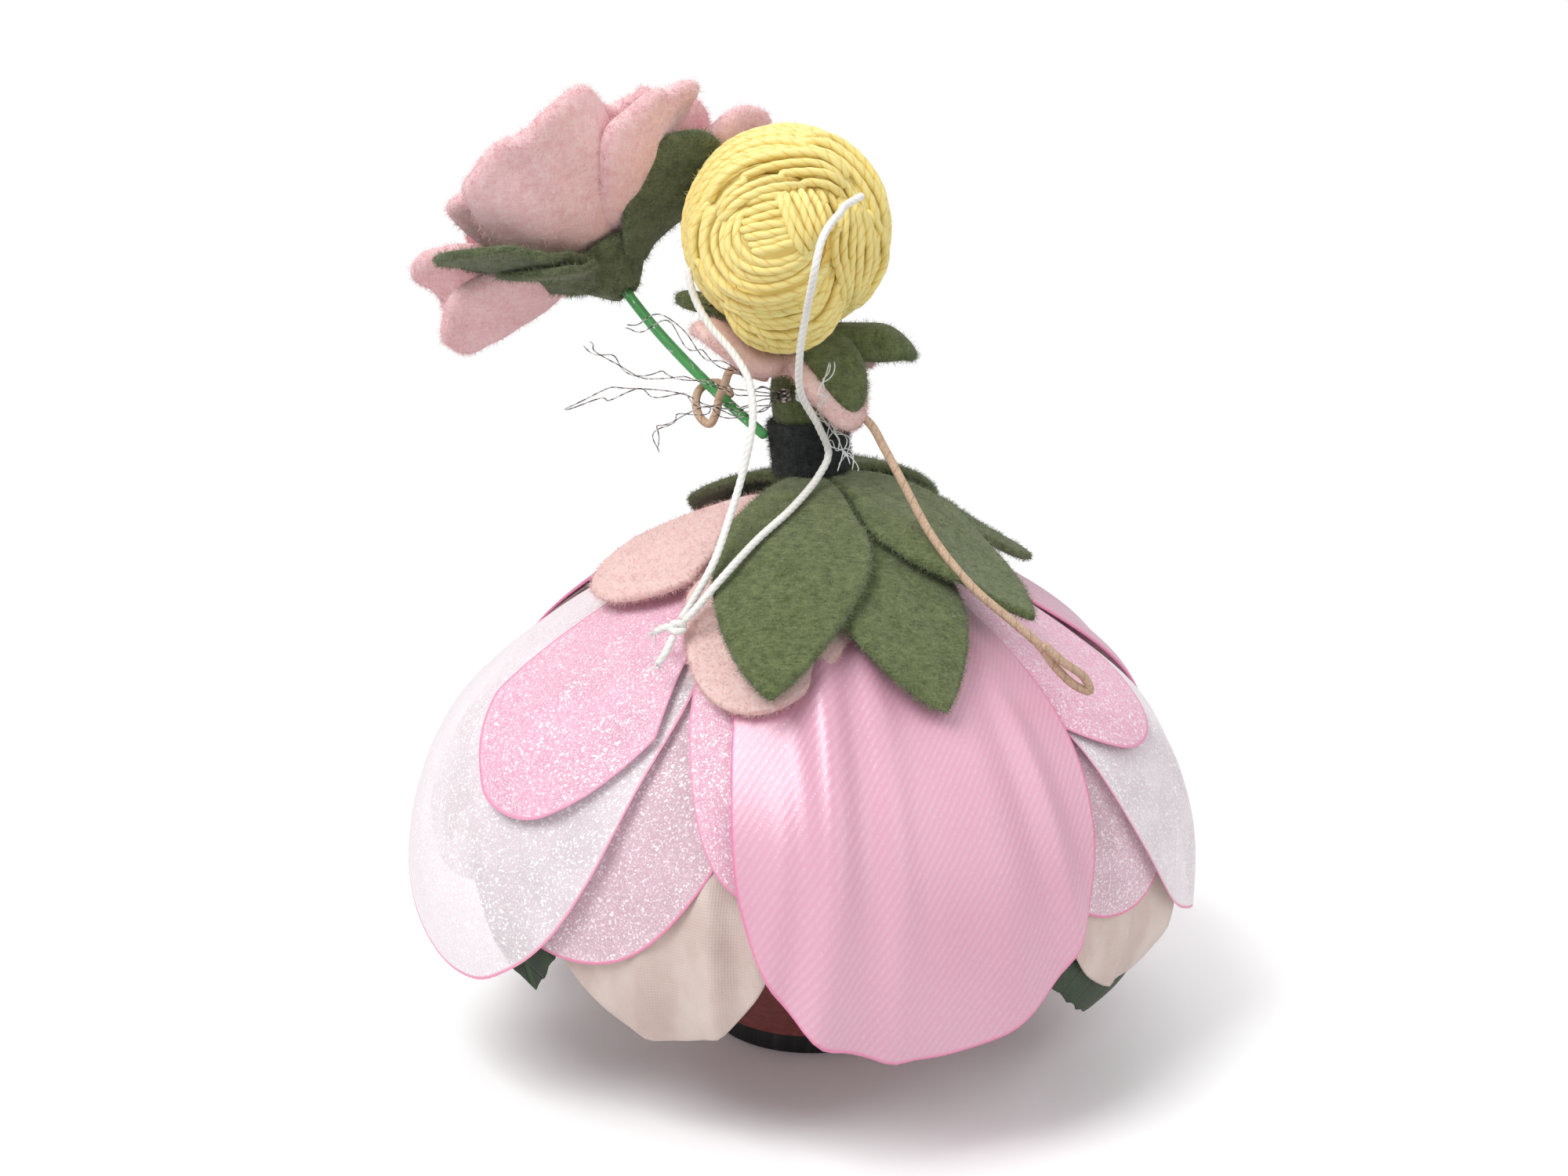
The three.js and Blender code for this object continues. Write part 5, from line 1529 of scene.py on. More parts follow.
    def from_view(self, places: Array, lift: float) -> Array:
        """Places in the back view laid on the hair or on the bun, whichever stands out further.

        Args:
            places: (right, up) places.
            lift: how far above it they lie.

        Returns:
            The places, from the head's centre.
        """
        axes = self.view_frame()
        limit = 0.985 * (HAIR_RADIUS + self.bulge(unit(
            places[:, :1] * axes[0] + places[:, 1:] * axes[1] + 0.35 * HAIR_RADIUS * axes[2])))
        out = np.linalg.norm(places, axis=1)
        places = places * np.minimum(1.0, limit / np.maximum(out, 1e-6))[:, None]
        flat = places[:, :1] * axes[0] + places[:, 1:] * axes[1]
        depth = np.full(len(places), HAIR_RADIUS)
        for _ in range(8):
            radius = HAIR_RADIUS + self.bulge(unit(flat + depth[:, None] * axes[2]))
            depth = np.sqrt(np.maximum(radius**2 - out.clip(max=limit) ** 2, 0.5))
        bun = self.bun_out * self.bun_frame(UP) @ axes.T
        away = np.hypot(places[:, 0] - bun[0], places[:, 1] - bun[1]) / self.bun_radius
        mound = bun[2] + self.bun_depth * np.sqrt(np.maximum(0.0, 1.0 - away**2)) - 30.0 * np.maximum(0.0, away - 1.0)
        top = np.maximum(depth, mound) + 0.25 * np.exp(-((depth - mound) / 1.2) ** 2)
        ball = flat + depth[:, None] * axes[2]
        on_bun = (mound > depth)[:, None]
        outwards = unit(ball) * np.where(on_bun, 0.25, 1.0) + axes[2] * np.where(on_bun, 0.75, 0.0)
        return flat + top[:, None] * axes[2] + lift * unit(outwards)

    def bundle_paths(self, bundle: Bundle) -> list[Array]:
        """The centrelines of a bundle's threads, in the head's frame.

        Args:
            bundle: the bundle.

        Returns:
            A path for each thread.
        """
        rails = [smooth_curve(rail, 0.05) for rail in bundle.rails]
        shares = np.linspace(0.0, 1.0, 60)
        rails = np.array([[rail[int(share * (len(rail) - 1))] for share in shares] for rail in rails])
        across = np.linspace(0.0, len(rails) - 1, bundle.threads)
        paths = []
        for number, place in enumerate(across):
            index = min(int(place), len(rails) - 2)
            share = place - index
            flat = rails[index] * (1 - share) + rails[index + 1] * share
            swing = [np.sin(3.1 * number + 5.0 * shares), np.cos(1.7 * number + 4.0 * shares)]
            lift = bundle.lift + 0.14 * math.sin(2.3 * number)
            raised = self.from_view(flat + self.wander * np.stack(swing, axis=1), lift)
            ends = np.exp(-shares / self.sink_share) + np.exp(-(1.0 - shares) / self.sink_share)
            sink = self.sink * ends
            paths.append(resampled(raised - unit(raised) * sink[:, None], 0.3))
        return paths

    def row_paths(self) -> list[Array]:
        """Full loops round the bun, then rows to and fro that leave the nape bare.

        Returns:
            The loops' path and the rows' path.
        """
        step = math.degrees(self.pitch / HAIR_RADIUS)
        loops = (self.last_full_polar - self.first_polar) / step
        turn = np.linspace(0.0, 360.0 * loops, int(loops * 90))
        polar = self.first_polar + step * turn / 360.0 + self.row_waver * np.sin(np.radians(1.31 * turn))
        full = self.on_hair(polar, 180.0 - turn, self.row_lift * np.sin(np.radians(1.37 * turn)))
        rows = []
        limit = 180.0 - self.nape_bare
        for number, place in enumerate(np.arange(self.last_full_polar + step, self.last_polar, step)):
            across = np.linspace(-limit, limit, 80)
            direction = 1 if number % 2 else -1
            polar = place + 0.8 * np.sin(np.radians(2 * across) + 1.7 * number)
            lift = 0.2 * np.sin(np.radians(3 * across + 70 * number))
            rows.append(self.on_hair(polar, direction * across, lift))
        return [resampled(full, 0.3), resampled(np.vstack(rows), 0.3)]

    def thread(self, path: Array) -> Surface:
        """One thread of two loosely twisted plies."""
        return tube(path, self.thread_radius, 10, plies=2, pitch=self.thread_pitch, groove=self.thread_groove)

    def under(self) -> Surface:
        """The glued first layer that shows between the threads.

        Returns:
            The layer.
        """
        polar = np.linspace(3.0, 116.0, 40)[:, None]
        turn = 360.0 * np.arange(72)[None] / 72
        outer = self.on_hair(*np.broadcast_arrays(polar, turn), -self.under_drop)
        inner = unit(outer[-1:]) * (HEAD_RADIUS + 0.25)
        grid = np.concatenate([outer, inner])
        edge = np.full(grid.shape[:2], 3.0)
        flat = np.stack([grid[..., 0], grid[..., 2]], axis=-1)
        return sheet(grid, unit(grid), 0.0, edge, flat)

    def ball(self) -> Surface:
        """The turned wooden ball, with its bore's edge at the neck."""
        angle = np.linspace(-np.pi / 2 + 0.13, np.pi / 2 - 0.02, 60)
        return turned([(HEAD_RADIUS * math.cos(a), HEAD_RADIUS * math.sin(a)) for a in angle])

    def add(self) -> None:
        """Adds the head and all its hair."""

        def on_head(points: Array) -> Array:
            """Moves points from the head's centre to where the head is."""
            return leaning(points, HEAD_CENTRE_UP)

        add_piece("head_wood", self.ball().placed(on_head), self.finishes["face_wood"], ("head_ball",))
        cotton = self.finishes["hair_thread"]
        add_piece("hair_under", self.under().placed(on_head), cotton, ("hair_cap",))
        rows = Surface.joined([self.thread(path) for path in self.row_paths()]).placed(on_head)
        add_piece("hair_rows", rows, cotton, ("hair_winding",))
        add_nap("hair_rows", rows, Nap(cotton, per_mm2=1.5))
        paths = [path for bundle in self.bundles for path in self.bundle_paths(bundle)]
        strands = Surface.joined([self.thread(path) for path in paths])
        add_piece("hair_bun", strands.placed(on_head), cotton, ("bun_winding", "bun_core"))


@dataclass(frozen=True)
class CollarForm:
    """A collar's height on the torso, how far it reaches between its lobes, and the lobes."""

    name: str
    node: str
    felt: str
    nap: str
    height: float
    thickness: float
    valley: float
    lobes: tuple
    curl: tuple


@dataclass
class Collars:
    """Two felt shapes threaded on the spine between the bodice and the head."""

    finishes: dict[str, Finish]
    fall: tuple = ((-150, 2.5), (-104, -4.4), (-70, -4.8), (-14, 2.6), (34, 6.4), (84, 0.4), (140, 3))
    fall_radius: float = 10.0
    waviness: float = 0.25
    around: int = 240
    forms: tuple = (
        CollarForm("collar_under", "collar_pink", "pink_felt", "pink_felt", 13.2, 1.8, 5.2,
                   ((32, 10.3, 42), (-70, 12.8, 40), (128, 10.0, 40), (-150, 9.6, 34)), ((32, 1.6), (-70, 1.4))),
        CollarForm("collar_over", "collar_green", "green_felt", "green_nap", 14.75, 2.0, 4.4,
                   ((38, 10.2, 34), (88, 13.6, 19), (-104, 14.6, 16), (150, 11.0, 26)),
                   ((38, 1.2), (88, 3.6), (-104, 0.4), (150, 0.5))),
    )

    def reach(self, form: CollarForm, azimuths: Array) -> Array:
        """How far a collar reaches at each azimuth.

        Args:
            form: the collar.
            azimuths: in degrees.

        Returns:
            A radius for each azimuth.
        """
        reach = np.full(azimuths.shape, form.valley)
        for middle, far, half in form.lobes:
            away = np.clip(np.abs(turn_between(middle, azimuths)) / half, 0.0, 1.0)
            reach = np.maximum(reach, form.valley + (far - form.valley) * np.cos(np.pi / 2 * away) ** 0.7)
        return reach

    def shape(self, form: CollarForm) -> Cloth:
        """A collar as it lies, with its flat sizes.

        Args:
            form: the collar.

        Returns:
            The collar.
        """
        azimuths = 360.0 * np.arange(self.around) / self.around
        reach = self.reach(form, azimuths)
        reach = sum(np.roll(reach, k) for k in range(-2, 3)) / 5
        hole = SPINE_RADIUS + SEAT_GAP
        share = 1.0 - (1.0 - np.linspace(0.0, 1.0, 26)) ** 1.5
        radius = hole + (reach - hole) * share[:, None]
        flat_radius = TORSO_NECK_RADIUS + 2 * SEAT_GAP + BODICE_FELT
        falling = np.maximum(0.0, radius - flat_radius) / (self.fall_radius - flat_radius)
        grid = outward(np.broadcast_to(azimuths, radius.shape)) * radius[..., None]
        wave = self.waviness * np.sin(np.radians(4 * azimuths) + 0.3 * radius) * share[:, None]
        steep = np.where(falling < 1.0, falling**1.3, 1.0 + 0.5 * (falling - 1.0))
        curl = round_the_circle(form.curl, azimuths) * smoothstep(radius / reach, 0.62, 1.05) ** 2
        middle = form.height + COLLAR_FELT / 2 + 0.25
        grid[..., 2] = middle - round_the_circle(self.fall, azimuths) * steep + wave - curl
        edge = np.minimum(reach - radius, radius - hole)
        flat = radius[..., None] * outward(np.broadcast_to(azimuths, radius.shape))[..., :2]
        surface = sheet(grid, UP, form.thickness, edge, flat, hole=True)
        return Cloth(surface.placed(lambda points: leaning(points, 0.0)), *flat_size(flat[-1]), spread(grid))

    def add(self) -> None:
        """Adds both collars."""
        for form in self.forms:
            add_sheet(form.name, self.shape(form), self.finishes[form.felt], form.node,
                      Nap(self.finishes[form.nap]))


class Outline(Enum):
    """The outline of a skirt's sheet."""

    ROUNDED = "rounded"
    POINTED = "pointed"


@dataclass(frozen=True)
class Fold:
    """A soft ridge in a sheet, from its root to its hem.

    Args:
        across: where it lies at the hem, as a share of the half width.
        wide: its half width in millimetres.
        high: how far it stands out, in millimetres.
        start: where it begins, as a share of the length.
    """

    across: float
    wide: float
    high: float
    start: float = 0.35


@dataclass(frozen=True)
class Cut:
    """One sheet of the skirt: its azimuth, its length along the bell, its half width, and what shapes it."""

    azimuth: float
    to: float
    half: float
    lean: float = 0.0
    folds: tuple[Fold, ...] = ()
    lift: float = 0.0
    tuck: float = 0.0


@dataclass(frozen=True)
class Layer:
    """One layer of the skirt's sheets."""

    name: str
    node: str
    finish: str
    thickness: float
    outline: Outline
    cuts: tuple[Cut, ...]
    belly: float = 0.62
    root: float = 0.16
    wavy: float = 0.012
    teeth: float = 0.0
    wrinkle: float = 0.12
    nap: str = ""

    def width(self, share: Array) -> Array:
        """Half width along a sheet, as a share of its widest.

        Args:
            share: of the sheet's length.

        Returns:
            A share for each.
        """
        rising = np.sin(np.pi / 2 * np.clip(share / self.belly, 0.0, 1.0))
        beyond = np.clip((share - self.belly) / (1.0 - self.belly), 0.0, 1.0)
        if self.outline is Outline.ROUNDED:
            return np.where(share > self.belly, np.sqrt(1.0 - beyond**2), self.root + (1 - self.root) * rising**1.3)
        narrowing = np.cos(np.pi / 2 * beyond).clip(min=0.0) ** 0.8
        return np.where(share > self.belly, narrowing, self.root + (1 - self.root) * rising)

    def edge_line(self, cut: Cut, around: int, seed: int) -> Array:
        """The sheet's flat outline as evenly spaced (across, along) places.

        Args:
            cut: the sheet.
            around: points round it.
            seed: of its ripples.

        Returns:
            (around, 2) places.
        """
        share = 1.0 - (1.0 - np.linspace(0.0, 1.0, 200)) ** 2
        width = cut.half * self.width(share)
        right = np.stack([width, share * cut.to], axis=1)
        left = right[::-1] * (-1.0, 1.0)
        closed = np.vstack([[0.0, 0.0], right, left, [0.0, 0.0]])
        line = resampled(closed, np.linalg.norm(np.diff(closed, axis=0), axis=1).sum() / around)[:around]
        turn = 2 * np.pi * np.arange(around) / around
        phases = np.random.default_rng(seed).uniform(0, 2 * np.pi, 5)
        ripple = sum(np.sin((k + 3) * turn + phase) / (k + 1) for k, phase in enumerate(phases))
        tooth = self.teeth * np.abs(np.sin(turn * 22)) * smoothstep(line[:, 1] / cut.to, 0.3, 0.6)
        middle = np.array([0.0, SHEET_MIDDLE * cut.to])
        return middle + (line - middle) * (1.0 + self.wavy * ripple - tooth)[:, None]

    def area(self, cut: Cut) -> float:
        """The flat area of one sheet."""
        return float(2.0 * cut.half * cut.to * np.mean(self.width(np.linspace(0.0, 1.0, 400))))


SKIRT_LAYERS = (
    Layer("inner_satin", "inner_satin_petal", "pink_satin", SILK, Outline.ROUNDED,
          (Cut(27, 74.5, 19), Cut(178, 73, 19))),
    Layer("dark_leaf", "silk_leaf", "dark_silk", SILK, Outline.POINTED,
          (Cut(42, 78, 18, 30), Cut(-50, 67, 9), Cut(165, 72, 13)), belly=0.68, root=0.3, teeth=0.02),
    Layer("cream", "cream_petal", "cream_silk", SILK, Outline.ROUNDED,
          (Cut(-25, 68, 17, folds=(Fold(0.45, 1.6, 1.0, 0.55), Fold(-0.1, 1.8, 0.7, 0.6), Fold(0.8, 1.6, 0.8, 0.6))),
           Cut(62, 67, 17, folds=(Fold(-0.2, 1.8, 1.0, 0.55), Fold(0.5, 2.0, 0.8, 0.6))),
           Cut(150, 70, 17), Cut(-108, 68, 19)), wavy=0.02, wrinkle=0.2),
    Layer("sheer_lower", "organza_petal_lower", "organza_blush", 0.0, Outline.ROUNDED,
          (Cut(-37, 60, 17, lift=0.25), Cut(56, 58, 15), Cut(180, 66, 17))),
    Layer("sheer_upper", "organza_petal_upper", "organza", 0.0, Outline.ROUNDED,
          (Cut(-61, 64.5, 20, folds=(Fold(0.3, 3.0, 0.5, 0.5),), lift=0.5),
           Cut(80, 62, 17, folds=(Fold(-0.1, 2.6, 0.8, 0.4),), lift=0.3), Cut(-142, 67, 18)), belly=0.66),
    Layer("glitter", "organza_petal_small", "organza_pink", 0.0, Outline.ROUNDED,
          (Cut(-49, 46, 12.2, folds=(Fold(-0.3, 2.0, 0.5, 0.4), Fold(0.4, 2.0, 0.4, 0.5)), lift=0.4),
           Cut(-8, 50, 9), Cut(66, 42, 12)), wavy=0.018),
    Layer("satin", "satin_petal", "pink_satin", SILK, Outline.ROUNDED,
          (Cut(18, 65.5, 20.5, folds=(Fold(-0.62, 2.3, 2.4, 0.2), Fold(-0.92, 1.6, 0.9, 0.5),
                                      Fold(-0.24, 1.8, 0.8, 0.1), Fold(0.45, 4.0, 1.2, 0.2),
                                      Fold(0.86, 1.8, 1.0, 0.3)), lift=0.3),
           Cut(130, 67, 19.5, folds=(Fold(0.5, 2.6, 1.0, 0.3), Fold(-0.4, 3.4, 0.8, 0.3)), tuck=1.2),
           Cut(-150, 66, 19.5, folds=(Fold(-0.5, 2.6, 1.0, 0.3), Fold(0.35, 3.2, 0.8, 0.3)), tuck=1.2)), belly=0.7),
    Layer("pink_felt_petal", "felt_petal", "pink_felt", FELT, Outline.ROUNDED,
          (Cut(-12, 32, 9.1), Cut(-66, 22.5, 8.5), Cut(150, 30, 9.5)),
          belly=0.6, root=0.3, wavy=0.018, nap="pink_felt"),
    Layer("leaf_lower", "felt_leaf_lower", "green_felt", FELT, Outline.POINTED,
          (Cut(24, 33.5, 7.6), Cut(112, 27, 7.8), Cut(-160, 29, 7.0)),
          belly=0.55, root=0.34, wavy=0.02, nap="green_nap"),
    Layer("leaf_upper", "felt_leaf_upper", "green_felt", FELT, Outline.POINTED,
          (Cut(-7, 32, 7.4, folds=(Fold(0.0, 3.0, 0.5, 0.2),)),
           Cut(53, 27.5, 7.3, folds=(Fold(-0.75, 2.2, 1.1, 0.2),), lift=0.3), Cut(160, 29, 8.0)),
          belly=0.5, root=0.36, wavy=0.02, nap="green_nap"),
)


class Bell:
    """The surface that every layer of the skirt follows, at its own distance."""

    PROFILE = ((DOWEL_RADIUS + SEAT_GAP, BELL_TOP), (WASHER_RADIUS + 1, BELL_TOP - 0.2), (18.5, 56.3), (28.5, 49.5),
               (37.2, 40), (41, 30), (41, 20), (38, 12), (34, 7.0))
    FAN = 0.6
    SIDE_SWELL = 0.08
    BACK_TAKE_IN = 0.06
    RIGHT_DROOP = 0.25
    FOLDS = 5
    FOLD_DEPTH = 0.03
    FOLD_AZIMUTH = 4.0
    CHORD_SAG = 0.2

    def __init__(self) -> None:
        """Samples the profile's spline finely."""
        corners = np.array(self.PROFILE)
        knots = np.vstack([corners[0], corners, corners[-1]])
        now = np.linspace(0.0, 1.0, 40, endpoint=False)[:, None]
        pieces = []
        for a, b, c, d in zip(knots, knots[1:], knots[2:], knots[3:]):
            enter, leave = (c - a) / 2, (d - b) / 2
            pieces.append((2 * b - 2 * c + enter + leave) * now**3
                          + (-3 * b + 3 * c - 2 * enter - leave) * now**2 + enter * now + b)
        line = np.vstack([*pieces, corners[-1]])
        self.line = resampled(line, 0.25)
        self.along = np.concatenate([[0.0], np.cumsum(np.linalg.norm(np.diff(self.line, axis=0), axis=1))])
        self.length = self.along[-1]
        tangents = unit(np.gradient(self.line, axis=0))
        self.out = np.stack([-tangents[:, 1], tangents[:, 0]], axis=1)

    def radius(self, along: Array) -> Array:
        """The bell's radius before it swells."""
        return np.interp(along, self.along, self.line[:, 0])

    def swell(self, azimuth: Array, along: Array) -> Array:
        """How much the bell swells at an azimuth.

        Args:
            azimuth: in degrees.
            along: the way down from the top.

        Returns:
            The factor on the bell's radius.
        """
        angle = np.radians(azimuth)
        side = self.SIDE_SWELL * np.maximum(0.0, -np.sin(angle)) ** 2
        back = self.BACK_TAKE_IN * np.maximum(0.0, np.cos(angle)) ** 2
        crest = self.FOLD_DEPTH * np.cos(self.FOLDS * np.radians(azimuth - self.FOLD_AZIMUTH))
        share = along / self.length
        to_hem = smoothstep(share, 0.15, 0.55)
        shoulder = smoothstep(share, 0.05, 0.3) * (1.0 - to_hem)
        droop = self.RIGHT_DROOP * np.maximum(0.0, np.sin(angle)) ** 2
        return 1.0 + (side - back + crest) * to_hem - droop * shoulder

    def place(self, along: Array, azimuth: Array, distance: Array, relief: Array) -> tuple[Array, Array]:
        """Places at a distance from the bell, which fans out to the hem, with their outward directions.

        Args:
            along: the way down from the top, which may pass the hem.
            azimuth: in degrees.
            distance: from the bell, at its top.
            relief: added to that.

        Returns:
            The places and the directions.
        """
        clipped = np.clip(along, 0.0, self.length)
        beyond = (along - clipped)[..., None]
        radius, height = (np.interp(clipped, self.along, self.line[:, k]) for k in (0, 1))
        out_radius, out_height = (np.interp(clipped, self.along, self.out[:, k]) for k in (0, 1))
        fanned = distance * (1.0 + self.FAN * (clipped / self.length) ** 2) - self.CHORD_SAG + relief
        ray = outward(azimuth)
        points = ray * (radius * self.swell(azimuth, clipped) + out_radius * fanned)[..., None]
        points[..., 2] = height + out_height * fanned
        normals = ray * out_radius[..., None]
        normals[..., 2] = out_height
        down = ray * out_height[..., None]
        down[..., 2] = -out_radius
        return points + beyond * down, normals


@dataclass
class Skirt:
    """All the sheets of the skirt, threaded on the dowel in layers."""

    finishes: dict[str, Finish]
    bell: Bell = field(default_factory=Bell)
    sheet_space: float = 1.5
    rings: int = 30
    around: int = 150

    def relief(self, layer: Layer, cut: Cut, across: Array, along: Array, edge: Array, seed: int) -> Array:
        """How far a sheet stands off its layer: fine wrinkles, its folds and its lifted rim.

        Args:
            layer: the sheet's layer.
            cut: the sheet.
            across: flat places.
            along: likewise.
            edge: their distance to the sheet's edge.
            seed: of its wrinkles.

        Returns:
            A height for each place.
        """
        share = along / cut.to
        side = across / cut.half
        phase = np.random.default_rng(seed).uniform(0.0, 6.0, 3)
        wrinkles = (np.sin(4.2 * side + 2.0 * share + phase[0]) + 0.6 * np.sin(9.0 * side - 3.0 * share + phase[1])
                    + 0.4 * np.sin(7.0 * share + phase[2]))
        height = layer.wrinkle * wrinkles * smoothstep(share, 0.3, 0.7)
        for fold in cut.folds:
            middle = fold.across * (0.35 + 0.65 * share)
            ridge = np.exp(-(((side - middle) * cut.half / fold.wide) ** 2))
            height = height + fold.high * ridge * smoothstep(share, fold.start, fold.start + 0.3)
        height = height + cut.lift * np.exp(-edge / 2.2) * smoothstep(share, 0.45, 0.75)
        return height - cut.tuck * np.exp(-edge / 4.0) * smoothstep(share, 0.1, 0.35)

    def shape(self, layer: Layer, cut: Cut, distance: float, widest: float, seed: int) -> Surface:
        """One sheet, laid on the bell.

        Args:
            layer: the sheet's layer.
            cut: the sheet.
            distance: of the layer from the bell.
            widest: half the room that it has beside its neighbours, in degrees.
            seed: of its outline and wrinkles.

        Returns:
            The sheet.
        """
        line = layer.edge_line(cut, self.around, seed)
        middle = np.array([0.0, SHEET_MIDDLE * cut.to])
        flat, edge = filled(line, middle, 0.05, self.rings, 1.7)
        across, along = flat[..., 0], np.maximum(flat[..., 1], 0.0)
        half = cut.half * layer.width(np.clip(along / cut.to, 0.0, 0.97))
        per_mm = np.minimum(np.degrees(1.0 / self.bell.radius(along)), widest / np.maximum(half, 1e-6))
        azimuth = cut.azimuth + cut.lean * (along / cut.to) ** 2 + across * per_mm
        relief = self.relief(layer, cut, across, along, edge, seed)
        grid, normals = self.bell.place(along, azimuth, distance + layer.thickness / 2, relief)
        return sheet(grid, normals, layer.thickness, edge, flat)

    def add(self) -> None:
        """Adds every sheet."""
        distance = 0.0
        for number, layer in enumerate(SKIRT_LAYERS):
            for index, cut in enumerate(layer.cuts):
                others = [abs(turn_between(cut.azimuth, other.azimuth)) for other in layer.cuts if other is not cut]
                widest = min(others) / 2 - self.sheet_space
                seed = 100 + 10 * number + index
                surface = self.shape(layer, cut, distance, widest, seed)
                cloth = Cloth(surface, 2 * cut.half, cut.to, layer.area(cut))
                nap = Nap(self.finishes[layer.nap]) if layer.nap else None
                add_sheet(f"{layer.name}_{index + 1}", cloth, self.finishes[layer.finish],
                          f"{layer.node}_{index + 1}", nap)
            distance += (layer.thickness or SILK) + LAYER_GAP


def add_bent_wire(name: str, surface: Surface, finish: Finish, nodes: tuple[str, ...], body: Body,
                  bend: tuple) -> None:
    """Adds a wire as one piece, which no body carries.

    Args:
        name: the piece's name.
        surface: the whole wire.
        finish: what it is dressed with.
        nodes: the CAD nodes that it stands for.
        body: the body named in its log line.
        bend: points before, at and after the bend, from the torso's top.
    """
    wire = add_object(name, surface, finish.material)
    before, middle, after = np.asarray(bend, float)
    start, end = (middle + BEND_HALF * unit(side - middle) for side in (before, after))
    leaning(start) * MM
    leaning(end) * MM
    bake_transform(wire)
    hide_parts(*nodes)
    LOG.info("%s: bends between %s and %s", name, Body.FIGURE.value, body.value)


@dataclass
class Arms:
    """Arms of paper-covered wire, given from the torso's top."""

    finishes: dict[str, Finish]
    radius: float = 0.5
    paper_pitch: float = 2.1
    shoulder: tuple = (3.35, -3.75, -4.2)
    bend: tuple = (7.2, -7.6, -6.4)
    right: tuple = ((8.7, -9.8, -9.2), (10.3, -12.8, -12.5), (13.1, -16.8, -18.4), (16.9, -20.6, -23.5),
                    (20.9, -21.8, -27.6), (23.7, -22.0, -30.7), (25.4, -21.8, -33.7), (27.4, -21.0, -36.3),
                    (29.0, -20.6, -37.3), (28.5, -21.2, -35.4), (26.1, -22.7, -32.7), (24.0, -23.1, -30.2))
    left: tuple = ((-3.95, -2.1, -1.2), (-5.9, -3.4, -0.1), (-7.8, -4.4, 0.8), (-8.3, -4.4, 0.6),
                   (-9.1, -3.6, -1.1), (-9.9, -2.4, -2.6), (-10.6, -2.2, -4.7), (-11.5, -1.8, -5.9),
                   (-12.5, -1.2, -5.2), (-12.9, -0.2, -3.7), (-12.5, 1.1, -2.5), (-11.6, 1.9, -2.0),
                   (-10.4, 1.7, -1.8), (-9.3, 0.9, -2.2), (-8.6, -0.7, -3.2))

    def wire(self, points: tuple) -> Surface:
        """A stretch of the wire."""
        return tube(smooth_curve(leaning(points), FINE_STEP), self.radius, 14, pitch=self.paper_pitch)

    def add(self) -> None:
        """Adds the right arm, which bends under the shoulder, and the left arm, wound round the stem."""
        paper = self.finishes["paper_wire"]
        add_bent_wire("arm_right", self.wire((self.shoulder, self.bend, *self.right)), paper,
                      ("right_shoulder_wire", "right_arm"), Body.ARM, (self.shoulder, self.bend, self.right[0]))
        add_piece("arm_left", self.wire(self.left), paper, ("left_arm",))


